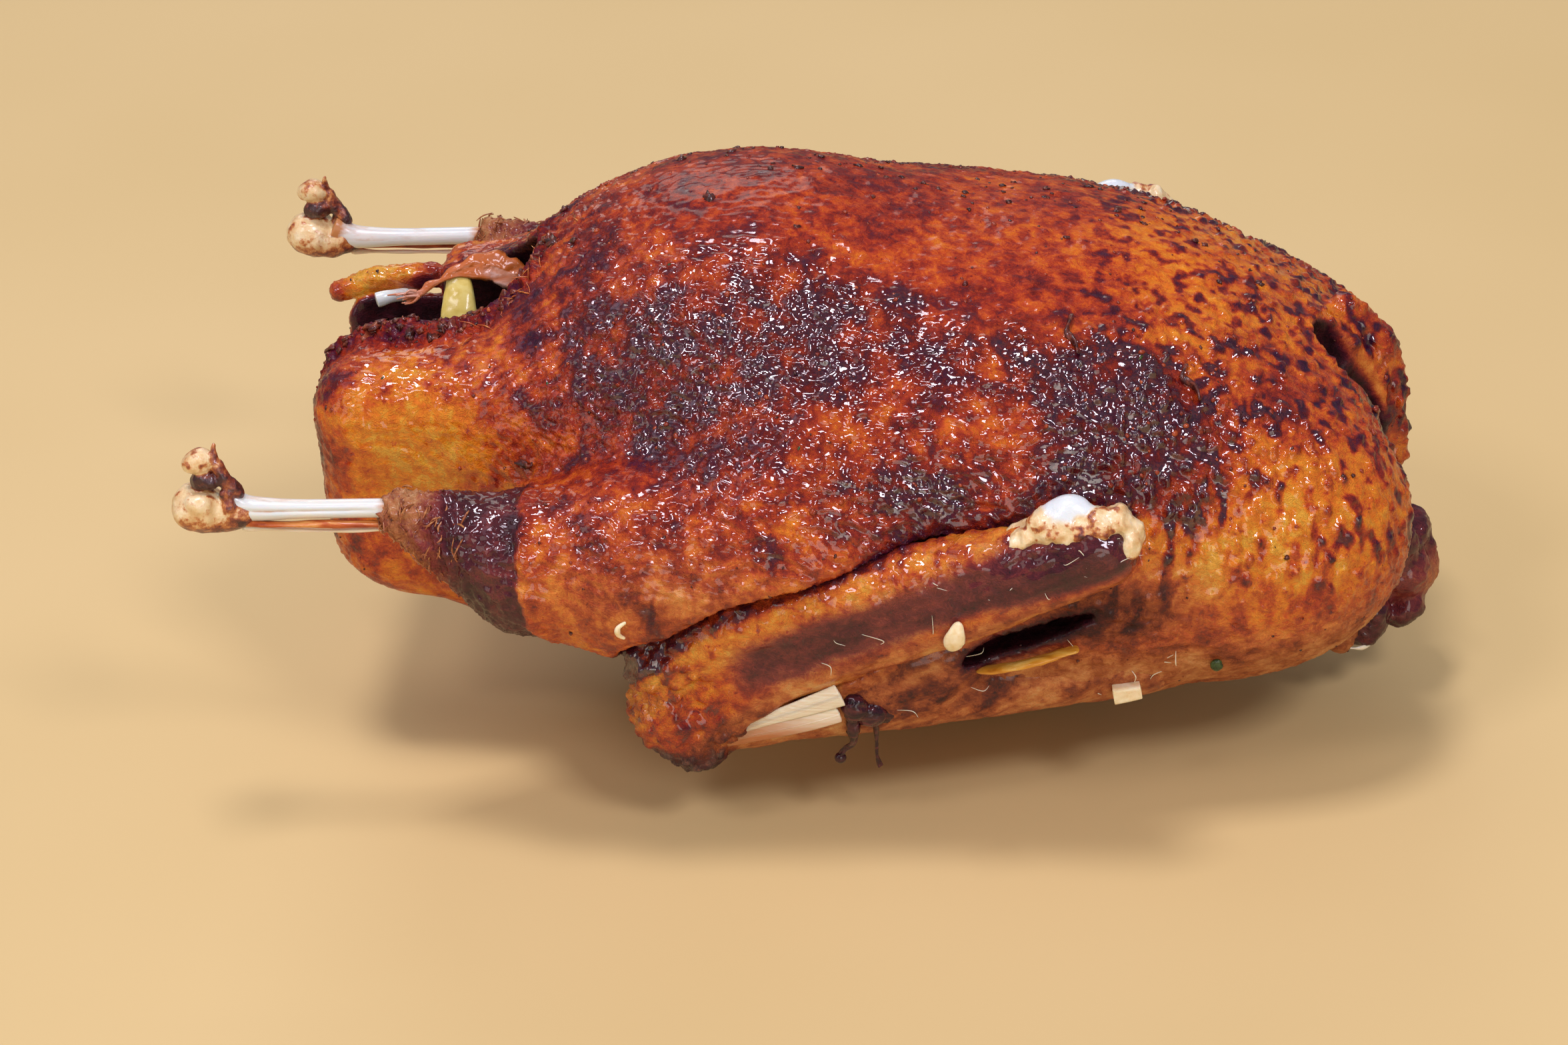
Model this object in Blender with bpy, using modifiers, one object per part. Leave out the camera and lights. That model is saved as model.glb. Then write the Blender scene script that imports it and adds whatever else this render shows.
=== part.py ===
"""A roast duck, lying on its back with the breast up, as solids at their real size.

X runs from the tail to the neck, Y from the near side to the far side, and Z is up. The
origin is the middle of the flat spot under the back that the duck rests on. Sizes are in
metres.
"""

import math
from typing import NamedTuple

import bmesh
import bpy
import numpy as np
from mathutils import Euler, Matrix, Vector

MM = 0.001

# Driving dimensions of the trunk.
TRUNK_LENGTH = 200 * MM
TRUNK_WIDTH = 112 * MM
TRUNK_HEIGHT = 98 * MM
TRUNK_MID = Vector((6 * MM, 0.0, 58 * MM))
RUMP_LENGTH = 66 * MM
RUMP_WIDTH = 72 * MM
RUMP_HEIGHT = 54 * MM
RUMP_ROUNDING = 12 * MM

# Driving dimensions of the legs and wings, as distances from the middle plane.
SHANK_OFFSET = 59 * MM
THIGH_OFFSET = 46 * MM
ELBOW_OFFSET = 60 * MM
WRIST_OFFSET = 67 * MM

SHANK_BONE_RADIUS = 2.7 * MM
TENDON_RADIUS = 1.2 * MM
FAR_WRIST_SHIFT = Vector((4 * MM, 0.0, 2 * MM))
CLEARANCE = 0.35 * MM
WING_ROOM = 1.1 * MM
NEAR, FAR = -1, 1
SIDE_NAMES = {NEAR: "near", FAR: "far"}

# How finely each kind of rounded body is remade, and how many triangles it keeps.
CARCASS_VOXEL = 2.5 * MM
CARCASS_TRIANGLES = 3200
TRUNK_SMOOTHING = 24
CARCASS_SMOOTHING = 7
SMALL_VOXEL = 1.1 * MM
SMALL_SMOOTHING = 3


class Ball(NamedTuple):
    """An ellipsoid lump of flesh: its middle, its three radii and its tilt about Y."""

    middle: tuple[float, float, float]
    radii: tuple[float, float, float]
    pitch: float = 0.0


class Limb(NamedTuple):
    """A round-ended tapering lump between two points."""

    start: tuple[float, float, float]
    end: tuple[float, float, float]
    start_radius: float
    end_radius: float


def swollen(lump, amount=WING_ROOM / MM):
    """The same lump with its surface moved outwards by amount, in millimetres."""
    if isinstance(lump, Ball):
        return lump._replace(radii=tuple(radius + amount for radius in lump.radii))
    return lump._replace(
        start_radius=lump.start_radius + amount, end_radius=lump.end_radius + amount
    )


def clear_scene():
    for item in list(bpy.data.objects):
        bpy.data.objects.remove(item, do_unlink=True)


def new_collection(name, helper=False):
    collection = bpy.data.collections.new(name)
    collection.hide_render = helper
    bpy.context.scene.collection.children.link(collection)
    return collection


def new_material(name, colour, roughness, coat=0.0):
    material = bpy.data.materials.new(name)
    material.use_nodes = True
    shader = material.node_tree.nodes["Principled BSDF"]
    shader.inputs["Base Color"].default_value = (*colour, 1.0)
    shader.inputs["Roughness"].default_value = roughness
    shader.inputs["Metallic"].default_value = 0.0
    shader.inputs["Coat Weight"].default_value = coat
    material.diffuse_color = (*colour, 1.0)
    return material


def on_side(point, side):
    """The point, given in millimetres for the near side, moved to the wanted side."""
    return Vector((point[0] * MM, -side * point[1] * MM, point[2] * MM))


def add_ball(bm, ball, side=NEAR, segments=32):
    tilt = Euler((0.0, math.radians(ball.pitch), 0.0)).to_matrix().to_4x4()
    size = Matrix.Diagonal((*(radius * MM for radius in ball.radii), 1.0))
    place = Matrix.Translation(on_side(ball.middle, side)) @ tilt @ size
    bmesh.ops.create_uvsphere(bm, u_segments=segments, v_segments=segments // 2, radius=1.0, matrix=place)


def add_limb(bm, limb, side=NEAR, segments=24):
    start, end = on_side(limb.start, side), on_side(limb.end, side)
    run = end - start
    turn = run.to_track_quat("Z", "Y").to_matrix().to_4x4()
    middle = Matrix.Translation((start + end) / 2)
    bmesh.ops.create_cone(
        bm,
        cap_ends=True,
        segments=segments,
        radius1=limb.start_radius * MM,
        radius2=limb.end_radius * MM,
        depth=run.length,
        matrix=middle @ turn,
    )
    for point, radius in ((start, limb.start_radius), (end, limb.end_radius)):
        place = Matrix.Translation(point) @ turn
        bmesh.ops.create_uvsphere(
            bm, u_segments=segments, v_segments=segments // 2, radius=radius * MM, matrix=place
        )


def add_rounded_box(bm, middle, size, rounding, pitch):
    tilt = Euler((0.0, math.radians(pitch), 0.0)).to_matrix().to_4x4()
    place = Matrix.Translation(middle) @ tilt @ Matrix.Diagonal((*size, 1.0))
    box = bmesh.ops.create_cube(bm, size=1.0, matrix=place)
    edges = list({edge for vertex in box["verts"] for edge in vertex.link_edges})
    bmesh.ops.bevel(bm, geom=edges, offset=rounding, segments=4, profile=0.5, affect="EDGES")


def object_from(bm, name, collection, material=None, helper=False):
    """Puts a bmesh in a new object; a helper is a guide that never shows."""
    bmesh.ops.recalc_face_normals(bm, faces=bm.faces)
    mesh = bpy.data.meshes.new(name)
    bm.to_mesh(mesh)
    bm.free()
    item = bpy.data.objects.new(name, mesh)
    collection.objects.link(item)
    if material:
        mesh.materials.append(material)
    if helper:
        make_helper(item)
    return item


def make_helper(item):
    item.hide_render = True
    item.display_type = "WIRE"


def evaluated_mesh(item, name):
    """A new mesh of what the object's modifiers make, in world space."""
    bpy.context.view_layer.update()
    graph = bpy.context.evaluated_depsgraph_get()
    mesh = bpy.data.meshes.new_from_object(item.evaluated_get(graph))
    mesh.name = name
    mesh.transform(item.matrix_world)
    return mesh


def melt(item, voxel, smoothing, triangles=None):
    """Melts overlapping lumps into one smooth body, then may thin it to the wanted triangles."""
    remesh = item.modifiers.new("melt", "REMESH")
    remesh.mode = "VOXEL"
    remesh.voxel_size = voxel
    remesh.adaptivity = 0.0
    smooth = item.modifiers.new("smooth", "SMOOTH")
    smooth.factor = 0.5
    smooth.iterations = smoothing
    item.data.shade_smooth()
    if triangles is None:
        return
    whole = evaluated_mesh(item, item.name + "_whole")
    whole.calc_loop_triangles()
    count = len(whole.loop_triangles)
    bpy.data.meshes.remove(whole)
    thin = item.modifiers.new("thin", "DECIMATE")
    thin.ratio = min(1.0, triangles / count)


def melted(name, lumps, side, collection, material, triangles, voxel=SMALL_VOXEL):
    """One smooth body from a list of balls and limbs."""
    bm = bmesh.new()
    for lump in lumps:
        add = add_ball if isinstance(lump, Ball) else add_limb
        add(bm, lump, side, 20)
    item = object_from(bm, name, collection, material)
    melt(item, voxel, SMALL_SMOOTHING, triangles)
    return item


def cut(item, *cutters):
    """Takes each cutter away from the object."""
    for cutter in cutters:
        boolean = item.modifiers.new("cut_" + cutter.name, "BOOLEAN")
        boolean.operation = "DIFFERENCE"
        boolean.solver = "EXACT"
        boolean.object = cutter


def grown_copy(item, helpers, amount=CLEARANCE):
    """A cutter: the object's finished shape moved outwards along its normals by amount."""
    mesh = evaluated_mesh(item, item.name + "_room")
    bm = bmesh.new()
    bm.from_mesh(mesh)
    bpy.data.meshes.remove(mesh)
    bmesh.ops.remove_doubles(bm, verts=bm.verts, dist=0.00001)
    bm.normal_update()
    for vertex in bm.verts:
        vertex.co += vertex.normal * amount * vertex.calc_shell_factor()
    return object_from(bm, item.name + "_room", helpers, helper=True)


def rod(name, points, radius, collection, material, taper=None):
    """A round rod through the points, as a mesh with closed ends.

    taper gives each point's share of the radius; a smooth curve joins the points.
    """
    curve = bpy.data.curves.new(name + "_path", "CURVE")
    curve.dimensions = "3D"
    curve.bevel_depth = radius
    curve.bevel_resolution = 2
    curve.use_fill_caps = True
    spline = curve.splines.new("POLY")
    spline.points.add(len(points) - 1)
    shares = taper or [1.0] * len(points)
    for place, point, share in zip(spline.points, points, shares):
        place.co = (*point, 1.0)
        place.radius = share
    path = bpy.data.objects.new(name + "_path", curve)
    bpy.context.scene.collection.objects.link(path)
    mesh = evaluated_mesh(path, name)
    bpy.data.objects.remove(path, do_unlink=True)
    bm = bmesh.new()
    bm.from_mesh(mesh)
    bpy.data.meshes.remove(mesh)
    bmesh.ops.remove_doubles(bm, verts=bm.verts, dist=0.00001)
    return object_from(bm, name, collection, material)


def arc_points(start, middle, end, count):
    """Points along the quadratic curve that starts and ends at two points and leans to a third."""
    steps = np.linspace(0.0, 1.0, count)[:, None]
    a, b, c = (np.array(point) for point in (start, middle, end))
    return (1 - steps) ** 2 * a + 2 * steps * (1 - steps) * b + steps**2 * c


def build_trunk(helpers):
    """Breast, back and rump melted softly together, before the legs are added."""
    bm = bmesh.new()
    half = Vector((TRUNK_LENGTH, TRUNK_WIDTH, TRUNK_HEIGHT)) / 2 / MM
    add_ball(bm, Ball(tuple(TRUNK_MID / MM), tuple(half), -1.0), segments=48)
    add_ball(bm, Ball((2, 0, 34), (84, 40, 37)), segments=40)
    add_ball(bm, Ball((-24, 0, 69), (60, 51, 48)), segments=40)
    add_ball(bm, Ball((2, 0, 65), (66, 46, 48), 4.0), segments=40)
    rump_middle = Vector((-76 * MM, 0.0, 60 * MM))
    rump_size = (RUMP_LENGTH, RUMP_WIDTH, RUMP_HEIGHT)
    add_rounded_box(bm, rump_middle, rump_size, RUMP_ROUNDING, -2.0)
    for side in (NEAR, FAR):
        add_ball(bm, Ball((24, -24, 57), (78, 40, 45), 5.0), side, 40)
        add_ball(bm, Ball((72, -26, 50), (38, 29, 33)), side)
        add_ball(bm, Ball((-56, -20, 59), (36, 28, 31), -4.0), side)
    trunk = object_from(bm, "trunk", helpers, helper=True)
    melt(trunk, CARCASS_VOXEL, TRUNK_SMOOTHING)
    return trunk


def build_carcass(flesh, helpers, skin):
    """The trunk with its thighs and drumsticks, one body."""
    whole = evaluated_mesh(build_trunk(helpers), "trunk_whole")
    bm = bmesh.new()
    bm.from_mesh(whole)
    bpy.data.meshes.remove(whole)
    thigh = THIGH_OFFSET / MM
    shank = SHANK_OFFSET / MM
    for side in (NEAR, FAR):
        add_ball(bm, Ball((-20, -thigh, 51), (43, 28, 36), -20.0), side, 40)
        add_ball(bm, Ball((-34, -thigh + 8, 56), (42, 22, 32), -10.0), side, 40)
        add_limb(bm, Limb((-40, -54, 57), (-12, -48, 54), 20.5, 26.0), side)
        add_limb(bm, Limb((-62, -57, 58), (-40, -54, 57), 15.0, 20.5), side)
        add_limb(bm, Limb((-87, -shank, 68.5), (-62, -57, 58), 6.8, 15.0), side)
    carcass = object_from(bm, "carcass", flesh, skin)
    melt(carcass, CARCASS_VOXEL, CARCASS_SMOOTHING, CARCASS_TRIANGLES)
    return carcass


def vent_cutter(helpers):
    """The body cavity, open on top between the legs and at the tail."""
    bm = bmesh.new()
    add_ball(bm, Ball((-84, 0, 78), (45, 16, 22), -3.0), segments=28)
    return object_from(bm, "vent", helpers, helper=True)


def neck_cutters(helpers):
    """The hollow at the neck: an upright slit down the front and the hole above it."""
    bm = bmesh.new()
    add_ball(bm, Ball((112, -1, 64), (18, 10, 26), 14.0), segments=24)
    hollow = object_from(bm, "neck_hollow_front", helpers, helper=True)
    bm = bmesh.new()
    add_ball(bm, Ball((95, -5, 76), (11, 8, 12), 30.0), segments=24)
    return [hollow, object_from(bm, "neck_hollow_top", helpers, helper=True)]


def floor_cutter(helpers):
    """A block under z = 0, which leaves the flat spot that the duck rests on."""
    bm = bmesh.new()
    depth = 0.1
    place = Matrix.Translation((0.0, 0.0, -depth / 2)) @ Matrix.Diagonal((0.4, 0.3, depth, 1.0))
    bmesh.ops.create_cube(bm, size=1.0, matrix=place)
    return object_from(bm, "floor", helpers, helper=True)


def build_shank(flesh, helpers, finishes, side):
    """The bare leg bone, the tendon under it and the knuckle on its end."""
    name = SIDE_NAMES[side]
    offset = SHANK_OFFSET / MM
    inner, outer = on_side((-76, -offset, 67.0), side), on_side((-126, -offset, 72.4), side)
    bone = rod(
        "leg_bone_" + name,
        arc_points(inner, (inner + outer) / 2 + Vector((0, 0, -0.8 * MM)), outer, 7),
        SHANK_BONE_RADIUS,
        flesh,
        finishes["bone"],
        [1.1, 1.0, 0.94, 0.9, 0.9, 0.96, 1.15],
    )
    drop = Vector((0.0, 0.0, -(SHANK_BONE_RADIUS + TENDON_RADIUS + CLEARANCE)))
    tendon_start = inner + drop + Vector((-4 * MM, 0, 0))
    tendon_end = outer + drop + Vector((4 * MM, 0, -0.6 * MM))
    tendon = rod(
        "leg_tendon_" + name,
        arc_points(tendon_start, (tendon_start + tendon_end) / 2, tendon_end, 4),
        TENDON_RADIUS,
        flesh,
        finishes["tendon"],
    )
    lumps = [
        Ball((-127.0, -offset - 1.5, 70.5), (5.2, 5.4, 5.2)),
        Ball((-126.5, -offset + 3.0, 72.5), (4.4, 4.4, 4.6)),
        Ball((-125.5, -offset + 1.0, 79.5), (3.4, 4.4, 3.8)),
        Limb((-125.5, -offset + 0.5, 72), (-125.5, -offset + 1.0, 78), 3.4, 2.6),
    ]
    knuckle = melted("leg_knuckle_" + name, lumps, side, flesh, finishes["gristle"], 240, 0.8 * MM)
    rooms = [grown_copy(bone, helpers), grown_copy(tendon, helpers)]
    cut(knuckle, *rooms)
    return rooms


def build_wing(flesh, helpers, finishes, side):
    """The folded wing: upper arm along the back, forearm up the flank, wrist gristle."""
    name = SIDE_NAMES[side]
    elbow, wrist = ELBOW_OFFSET / MM, WRIST_OFFSET / MM
    ahead, _, raised = FAR_WRIST_SHIFT / MM if side == FAR else Vector()
    forearm_lumps = [
        Limb((-32, -elbow - 1, 35), (41 + ahead, -wrist, 73 + raised), 9.5, 6.5),
        Limb((-28, -elbow, 27), (43 + ahead, -wrist, 63 + raised), 8.0, 5.5),
        Ball((-31, -elbow + 1, 26), (11, 9.5, 12), -35.0),
    ]
    upper_arm_lumps = [
        Limb((-26, -54, 20), (56, -40, 31), 7.0, 11.0),
        Ball((4, -53, 31), (30, 8, 11), -12.0),
        Ball((-7, -59, 28), (21, 7, 9), -22.0),
    ]
    wrist_lumps = [
        Ball((49.5 + ahead, -wrist, 72 + raised), (6.5, 6.0, 6.0), 20.0),
        Ball((54 + ahead, -wrist, 66 + raised), (5.5, 5.5, 7.0)),
    ]
    forearm = melted("forearm_" + name, forearm_lumps, side, flesh, finishes["skin"], 420)
    upper_arm = melted("upper_arm_" + name, upper_arm_lumps, side, flesh, finishes["skin"], 300)
    wrist_joint = melted("wrist_joint_" + name, wrist_lumps, side, flesh, finishes["gristle"], 180)
    cut(forearm, grown_copy(wrist_joint, helpers))
    cut(upper_arm, grown_copy(forearm, helpers))

    room_lumps = [swollen(lump) for lump in forearm_lumps + upper_arm_lumps + wrist_lumps]
    room = melted("wing_room_" + name, room_lumps, side, helpers, None, 700)
    make_helper(room)
    return [room]


def build_neck_stump(flesh, helpers, finishes):
    """The cut neck, three lumps of dark meat round the spine."""
    lumps = [
        Limb((88, 0, 25), (106, 0, 25), 11.0, 10.5),
        Ball((108, -4, 31), (8.5, 8, 7.5)),
        Ball((109, 5, 29), (8, 7, 7.5)),
        Ball((109, -2, 18), (8.5, 10, 7)),
    ]
    stump = melted("neck_stump", lumps, NEAR, flesh, finishes["dark_meat"], 380)
    return [grown_copy(stump, helpers)]


def build_vent_filling(flesh, helpers, finishes):
    """What shows in the body cavity: a pale wedge, a torn strip of skin and a bone end."""
    wedge_top, wedge_foot = Vector((-83.5, 3.5, 87)) * MM, Vector((-83.5, -4.5, 57)) * MM
    bm = bmesh.new()
    run = wedge_foot - wedge_top
    turn = run.to_track_quat("Z", "Y").to_matrix().to_4x4()
    bmesh.ops.create_cone(
        bm,
        cap_ends=True,
        segments=3,
        radius1=3.2 * MM,
        radius2=5.2 * MM,
        depth=run.length,
        matrix=Matrix.Translation((wedge_top + wedge_foot) / 2) @ turn,
    )
    wedge = object_from(bm, "stuffing_wedge", flesh, finishes["pale_wedge"])

    strip = rod(
        "vent_strip",
        arc_points(
            Vector((-97, 3, 85)) * MM, Vector((-84, 13, 95)) * MM, Vector((-66, 8, 86)) * MM, 9
        ),
        2.0 * MM,
        flesh,
        finishes["skin"],
        [0.5, 0.75, 0.95, 1.1, 1.2, 1.25, 1.2, 1.15, 1.1],
    )
    stub = rod(
        "hip_bone",
        [Vector((-104, 7.5, 80.5)) * MM, Vector((-99, 9.5, 81.5)) * MM, Vector((-88, 19, 80)) * MM],
        2.1 * MM,
        flesh,
        finishes["bone"],
    )
    return [grown_copy(piece, helpers) for piece in (wedge, strip, stub)]


def main():
    clear_scene()
    flesh = new_collection("roast_duck")
    helpers = new_collection("helpers", helper=True)
    finishes = {
        "skin": new_material("roast_skin", (0.36, 0.09, 0.03), 0.32, 0.4),
        "bone": new_material("bone", (0.78, 0.75, 0.68), 0.35),
        "tendon": new_material("tendon", (0.52, 0.27, 0.12), 0.4),
        "gristle": new_material("gristle", (0.66, 0.47, 0.28), 0.4),
        "dark_meat": new_material("dark_meat", (0.13, 0.035, 0.025), 0.35),
        "pale_wedge": new_material("pale_wedge", (0.72, 0.66, 0.24), 0.45),
    }
    carcass = build_carcass(flesh, helpers, finishes["skin"])
    rooms = [vent_cutter(helpers), *neck_cutters(helpers)]
    for side in (NEAR, FAR):
        rooms += build_shank(flesh, helpers, finishes, side)
        rooms += build_wing(flesh, helpers, finishes, side)
    rooms += build_neck_stump(flesh, helpers, finishes)
    rooms += build_vent_filling(flesh, helpers, finishes)
    rooms.append(floor_cutter(helpers))
    cut(carcass, *rooms)


main()
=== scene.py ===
"""The looks of a whole roast duck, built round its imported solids.

X runs from the tail to the neck, Y from the near side to the far side and Z is up. Shapes are
worked out in millimetres as whole numpy arrays and become meshes in metres. The skin is the zero
surface of a field of soft lumps, wings and bones are profiles carried along paths, and small
lumps are surfaces of two angles.
"""

import sys
import itertools
import logging
from dataclasses import dataclass, field
from enum import Enum
from typing import Callable, Optional, Sequence

import bpy
import numpy as np
from mathutils import Matrix, Vector
from mathutils.geometry import tessellate_polygon


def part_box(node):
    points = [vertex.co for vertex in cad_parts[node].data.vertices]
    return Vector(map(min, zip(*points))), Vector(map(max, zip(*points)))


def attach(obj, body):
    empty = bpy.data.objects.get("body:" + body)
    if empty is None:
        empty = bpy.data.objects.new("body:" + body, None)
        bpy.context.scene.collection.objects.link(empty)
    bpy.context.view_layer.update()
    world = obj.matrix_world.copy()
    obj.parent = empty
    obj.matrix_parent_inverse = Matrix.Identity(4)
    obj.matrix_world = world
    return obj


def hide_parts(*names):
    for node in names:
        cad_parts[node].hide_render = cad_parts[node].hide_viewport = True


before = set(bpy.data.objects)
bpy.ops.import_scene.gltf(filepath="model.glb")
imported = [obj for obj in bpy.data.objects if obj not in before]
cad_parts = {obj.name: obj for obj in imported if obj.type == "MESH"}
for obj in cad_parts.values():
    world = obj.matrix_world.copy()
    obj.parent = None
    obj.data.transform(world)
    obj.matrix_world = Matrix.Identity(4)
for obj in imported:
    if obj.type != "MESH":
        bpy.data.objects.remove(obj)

MM = 0.001
TURN = 2.0 * np.pi
EVEN = (1.0, 1.0, 1.0)
SHUFFLED = 256  # how many random slopes there are: a power of two, so that a mask wraps codes
NO_EXIT = 0.2  # how far a ray goes, in millimetres, through a lump that it misses

Array = np.ndarray
Triple = tuple[float, float, float]
Colour = tuple[float, float, float]
Stops = Sequence[tuple[float, Colour]]
Field = Callable[[Array], Array]
Profile = Callable[[Array, Array], Array]
Material = bpy.types.Material
Socket = bpy.types.NodeSocket
Value = Socket | float | tuple  # what a node's input takes: a link or a plain value
LOG = logging.getLogger("roast_duck")


class Side(Enum):
    """Which side of the duck a piece is on; shapes are drawn for the near side."""

    NEAR = -1
    FAR = 1

    @property
    def label(self) -> str:
        """The side's name as the frame's nodes spell it."""
        return self.name.lower()


class Slot(Enum):
    """The record's material slots."""

    SKIN = "roast_skin"
    BONE = "bone"
    GRISTLE = "gristle"
    TENDON = "tendon"
    MEAT = "dark_meat"
    WEDGE = "pale_wedge"


# ---------------------------------------------------------------- numbers over space


def ease(low: float, high: float, value: Array) -> Array:
    """A smooth step: 0 at low and 1 at high along 3t^2 - 2t^3; high may be below low."""
    share = clipped((value - low) / (high - low))
    return share * share * (3.0 - 2.0 * share)


def clipped(value: Array) -> Array:
    """The value held between 0 and 1."""
    return np.clip(value, 0.0, 1.0)


def bell(value: Array, middle: float, width: float) -> Array:
    """1 at the middle, falling to 1/e at width from it."""
    return np.exp(-(((value - middle) / width) ** 2))


def mixed(under: Array, over: Array | float, share: Array) -> Array:
    """The first value, passing into the second as the share goes from 0 to 1."""
    return under * (1.0 - share) + over * share


def unit(rows: Array) -> Array:
    """Each row divided by its length."""
    return rows / np.maximum(np.linalg.norm(rows, axis=-1, keepdims=True), 1e-9)


def blended(first: Array, second: Array, width: float) -> Array:
    """The lesser of two fields, eased by a cubic where they differ by under width."""
    overlap = np.maximum(width - np.abs(first - second), 0.0) / width
    return np.minimum(first, second) - overlap**3 * width / 6.0


def carved(body: Array, tool: Array, width: float) -> Array:
    """The body's field with the tool's inside taken away, its edge eased over width."""
    return -blended(-body, tool, width)


class Grain:
    """Random values that change smoothly over space, the same on every run."""

    GAIN = 1.7  # brings the sum of the eight slopes to about -1 to 1
    JITTER = 0.42  # how far a cell's point strays from its middle
    RIDGE_SHARP = 2.2  # how fast a ridge falls away
    RIDGE_FINER = 1.9  # how much smaller each layer of ridges is
    RIDGE_LOWER = 1.8  # how much lower each layer of ridges is

    def __init__(self, seed: int) -> None:
        """Draws the slopes and the shuffled order that every value is worked out from."""
        draw = np.random.default_rng(seed)
        self.slopes = unit(draw.normal(size=(SHUFFLED, 3))).astype(np.float32)
        self.order = draw.permutation(SHUFFLED)

    def code(self, cell: Array) -> Array:
        """A number from 0 to 255 for each whole-numbered cell, by three chained shuffles."""
        code = 0
        for axis in range(3):
            code = self.order[(code + cell[:, axis]) & (SHUFFLED - 1)]
        return code

    def smooth(self, points: Array, size: float, stretch: Triple = EVEN) -> Array:
        """Gradient noise from about -1 to 1 with lumps of the given size.

        Each corner of a point's cell gives a slope times the offset, and the eight are shared out
        by the quintic 6t^5 - 15t^4 + 10t^3.

        Args:
            points: places in millimetres, one a row.
            size: the width of a lump in millimetres.
            stretch: how much longer a lump is along each axis.

        Returns:
            One value for each point.
        """
        spot = points / (size * np.array(stretch, np.float32))
        base = np.floor(spot).astype(np.int32)
        part = (spot - base).astype(np.float32)
        fade = part**3 * (part * (part * 6.0 - 15.0) + 10.0)
        total = np.zeros(len(spot), np.float32)
        for corner in itertools.product((0, 1), repeat=3):
            step = np.array(corner)
            slope = self.slopes[self.code(base + step)]
            share = np.prod(np.where(step, fade, 1.0 - fade), axis=1)
            total += share * np.einsum("ij,ij->i", slope, part - step.astype(np.float32))
        return total * self.GAIN

    def layered(self, points: Array, size: float, layers: int = 3, stretch: Triple = EVEN) -> Array:
        """A sum of smooth noise, each layer half the size and half the height of the last."""
        total = np.zeros(len(points), np.float32)
        for layer in range(layers):
            offset = np.float32(17.3 * layer)
            total += self.smooth(points + offset, size / 2**layer, stretch) / 2**layer
        return total / (2.0 - 0.5 ** (layers - 1))

    def ridged(self, points: Array, size: float, layers: int = 2, stretch: Triple = EVEN) -> Array:
        """Narrow ridges: 1 where the noise crosses 0, falling away on both sides."""
        total = np.zeros(len(points), np.float32)
        for layer in range(layers):
            offset = np.float32(9.1 * layer)
            wave = self.smooth(points + offset, size / self.RIDGE_FINER**layer, stretch)
            total += (1.0 - np.minimum(np.abs(wave) * self.RIDGE_SHARP, 1.0)) / self.RIDGE_LOWER**layer
        return total / (1.0 + (layers > 1) / self.RIDGE_LOWER)

    def cells(self, points: Array, size: float) -> tuple[Array, Array]:
        """The distance to the nearest of one jittered point a cell, and that point's own number.

        Returns:
            The distance as a share of size, and a random number from 0 to 1 for the blob.
        """
        spot = points / size
        base = np.floor(spot).astype(np.int32)
        nearest = np.full(len(spot), 9.0, np.float32)
        owner = np.zeros(len(spot), np.float32)
        for step in itertools.product((-1, 0, 1), repeat=3):
            cell = base + np.array(step)
            code = self.code(cell)
            middle = cell + 0.5 + self.JITTER * self.slopes[code]
            gap = np.linalg.norm(spot - middle, axis=1).astype(np.float32)
            closer = gap < nearest
            nearest = np.where(closer, gap, nearest)
            owner = np.where(closer, code / (SHUFFLED - 1.0), owner)
        return nearest, owner


# ---------------------------------------------------------------- soft lumps


@dataclass(frozen=True)
class Ball:
    """An ellipsoid lump: its middle, its three radii and its tilt about Y in degrees."""

    middle: Triple
    radii: Triple
    pitch: float = 0.0

    def local(self, points: Array) -> Array:
        """The points seen from the lump's middle and along its own axes."""
        turn = np.radians(self.pitch)
        c, s = np.float32(np.cos(turn)), np.float32(np.sin(turn))
        gap = points - np.array(self.middle, np.float32)
        x, y, z = gap.T
        return np.stack([c * x - s * z, y, s * x + c * z], 1)

    def distance(self, points: Array) -> Array:
        """About the distance to the surface: k(k - 1) over the length of the scaled slope."""
        gap = self.local(points)
        radii = np.array(self.radii, np.float32)
        scaled = np.linalg.norm(gap / radii, axis=1)
        slope = np.linalg.norm(gap / radii**2, axis=1) + 1e-9
        return scaled * (scaled - 1.0) / slope


@dataclass(frozen=True)
class Limb:
    """A round-ended lump that tapers from one point to another."""

    start: Triple
    end: Triple
    start_radius: float
    end_radius: float

    def along(self, points: Array) -> tuple[Array, Array]:
        """Each point's share of the way along the middle line, and its gap from that line."""
        start = np.array(self.start, np.float32)
        run = np.array(self.end, np.float32) - start
        share = np.clip((points - start) @ run / (run @ run), 0.0, 1.0)
        return share, np.linalg.norm(points - start - share[:, None] * run, axis=1)

    def distance(self, points: Array) -> Array:
        """The gap from the middle line less the radius there."""
        share, gap = self.along(points)
        return gap - (self.start_radius + share * (self.end_radius - self.start_radius))


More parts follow.
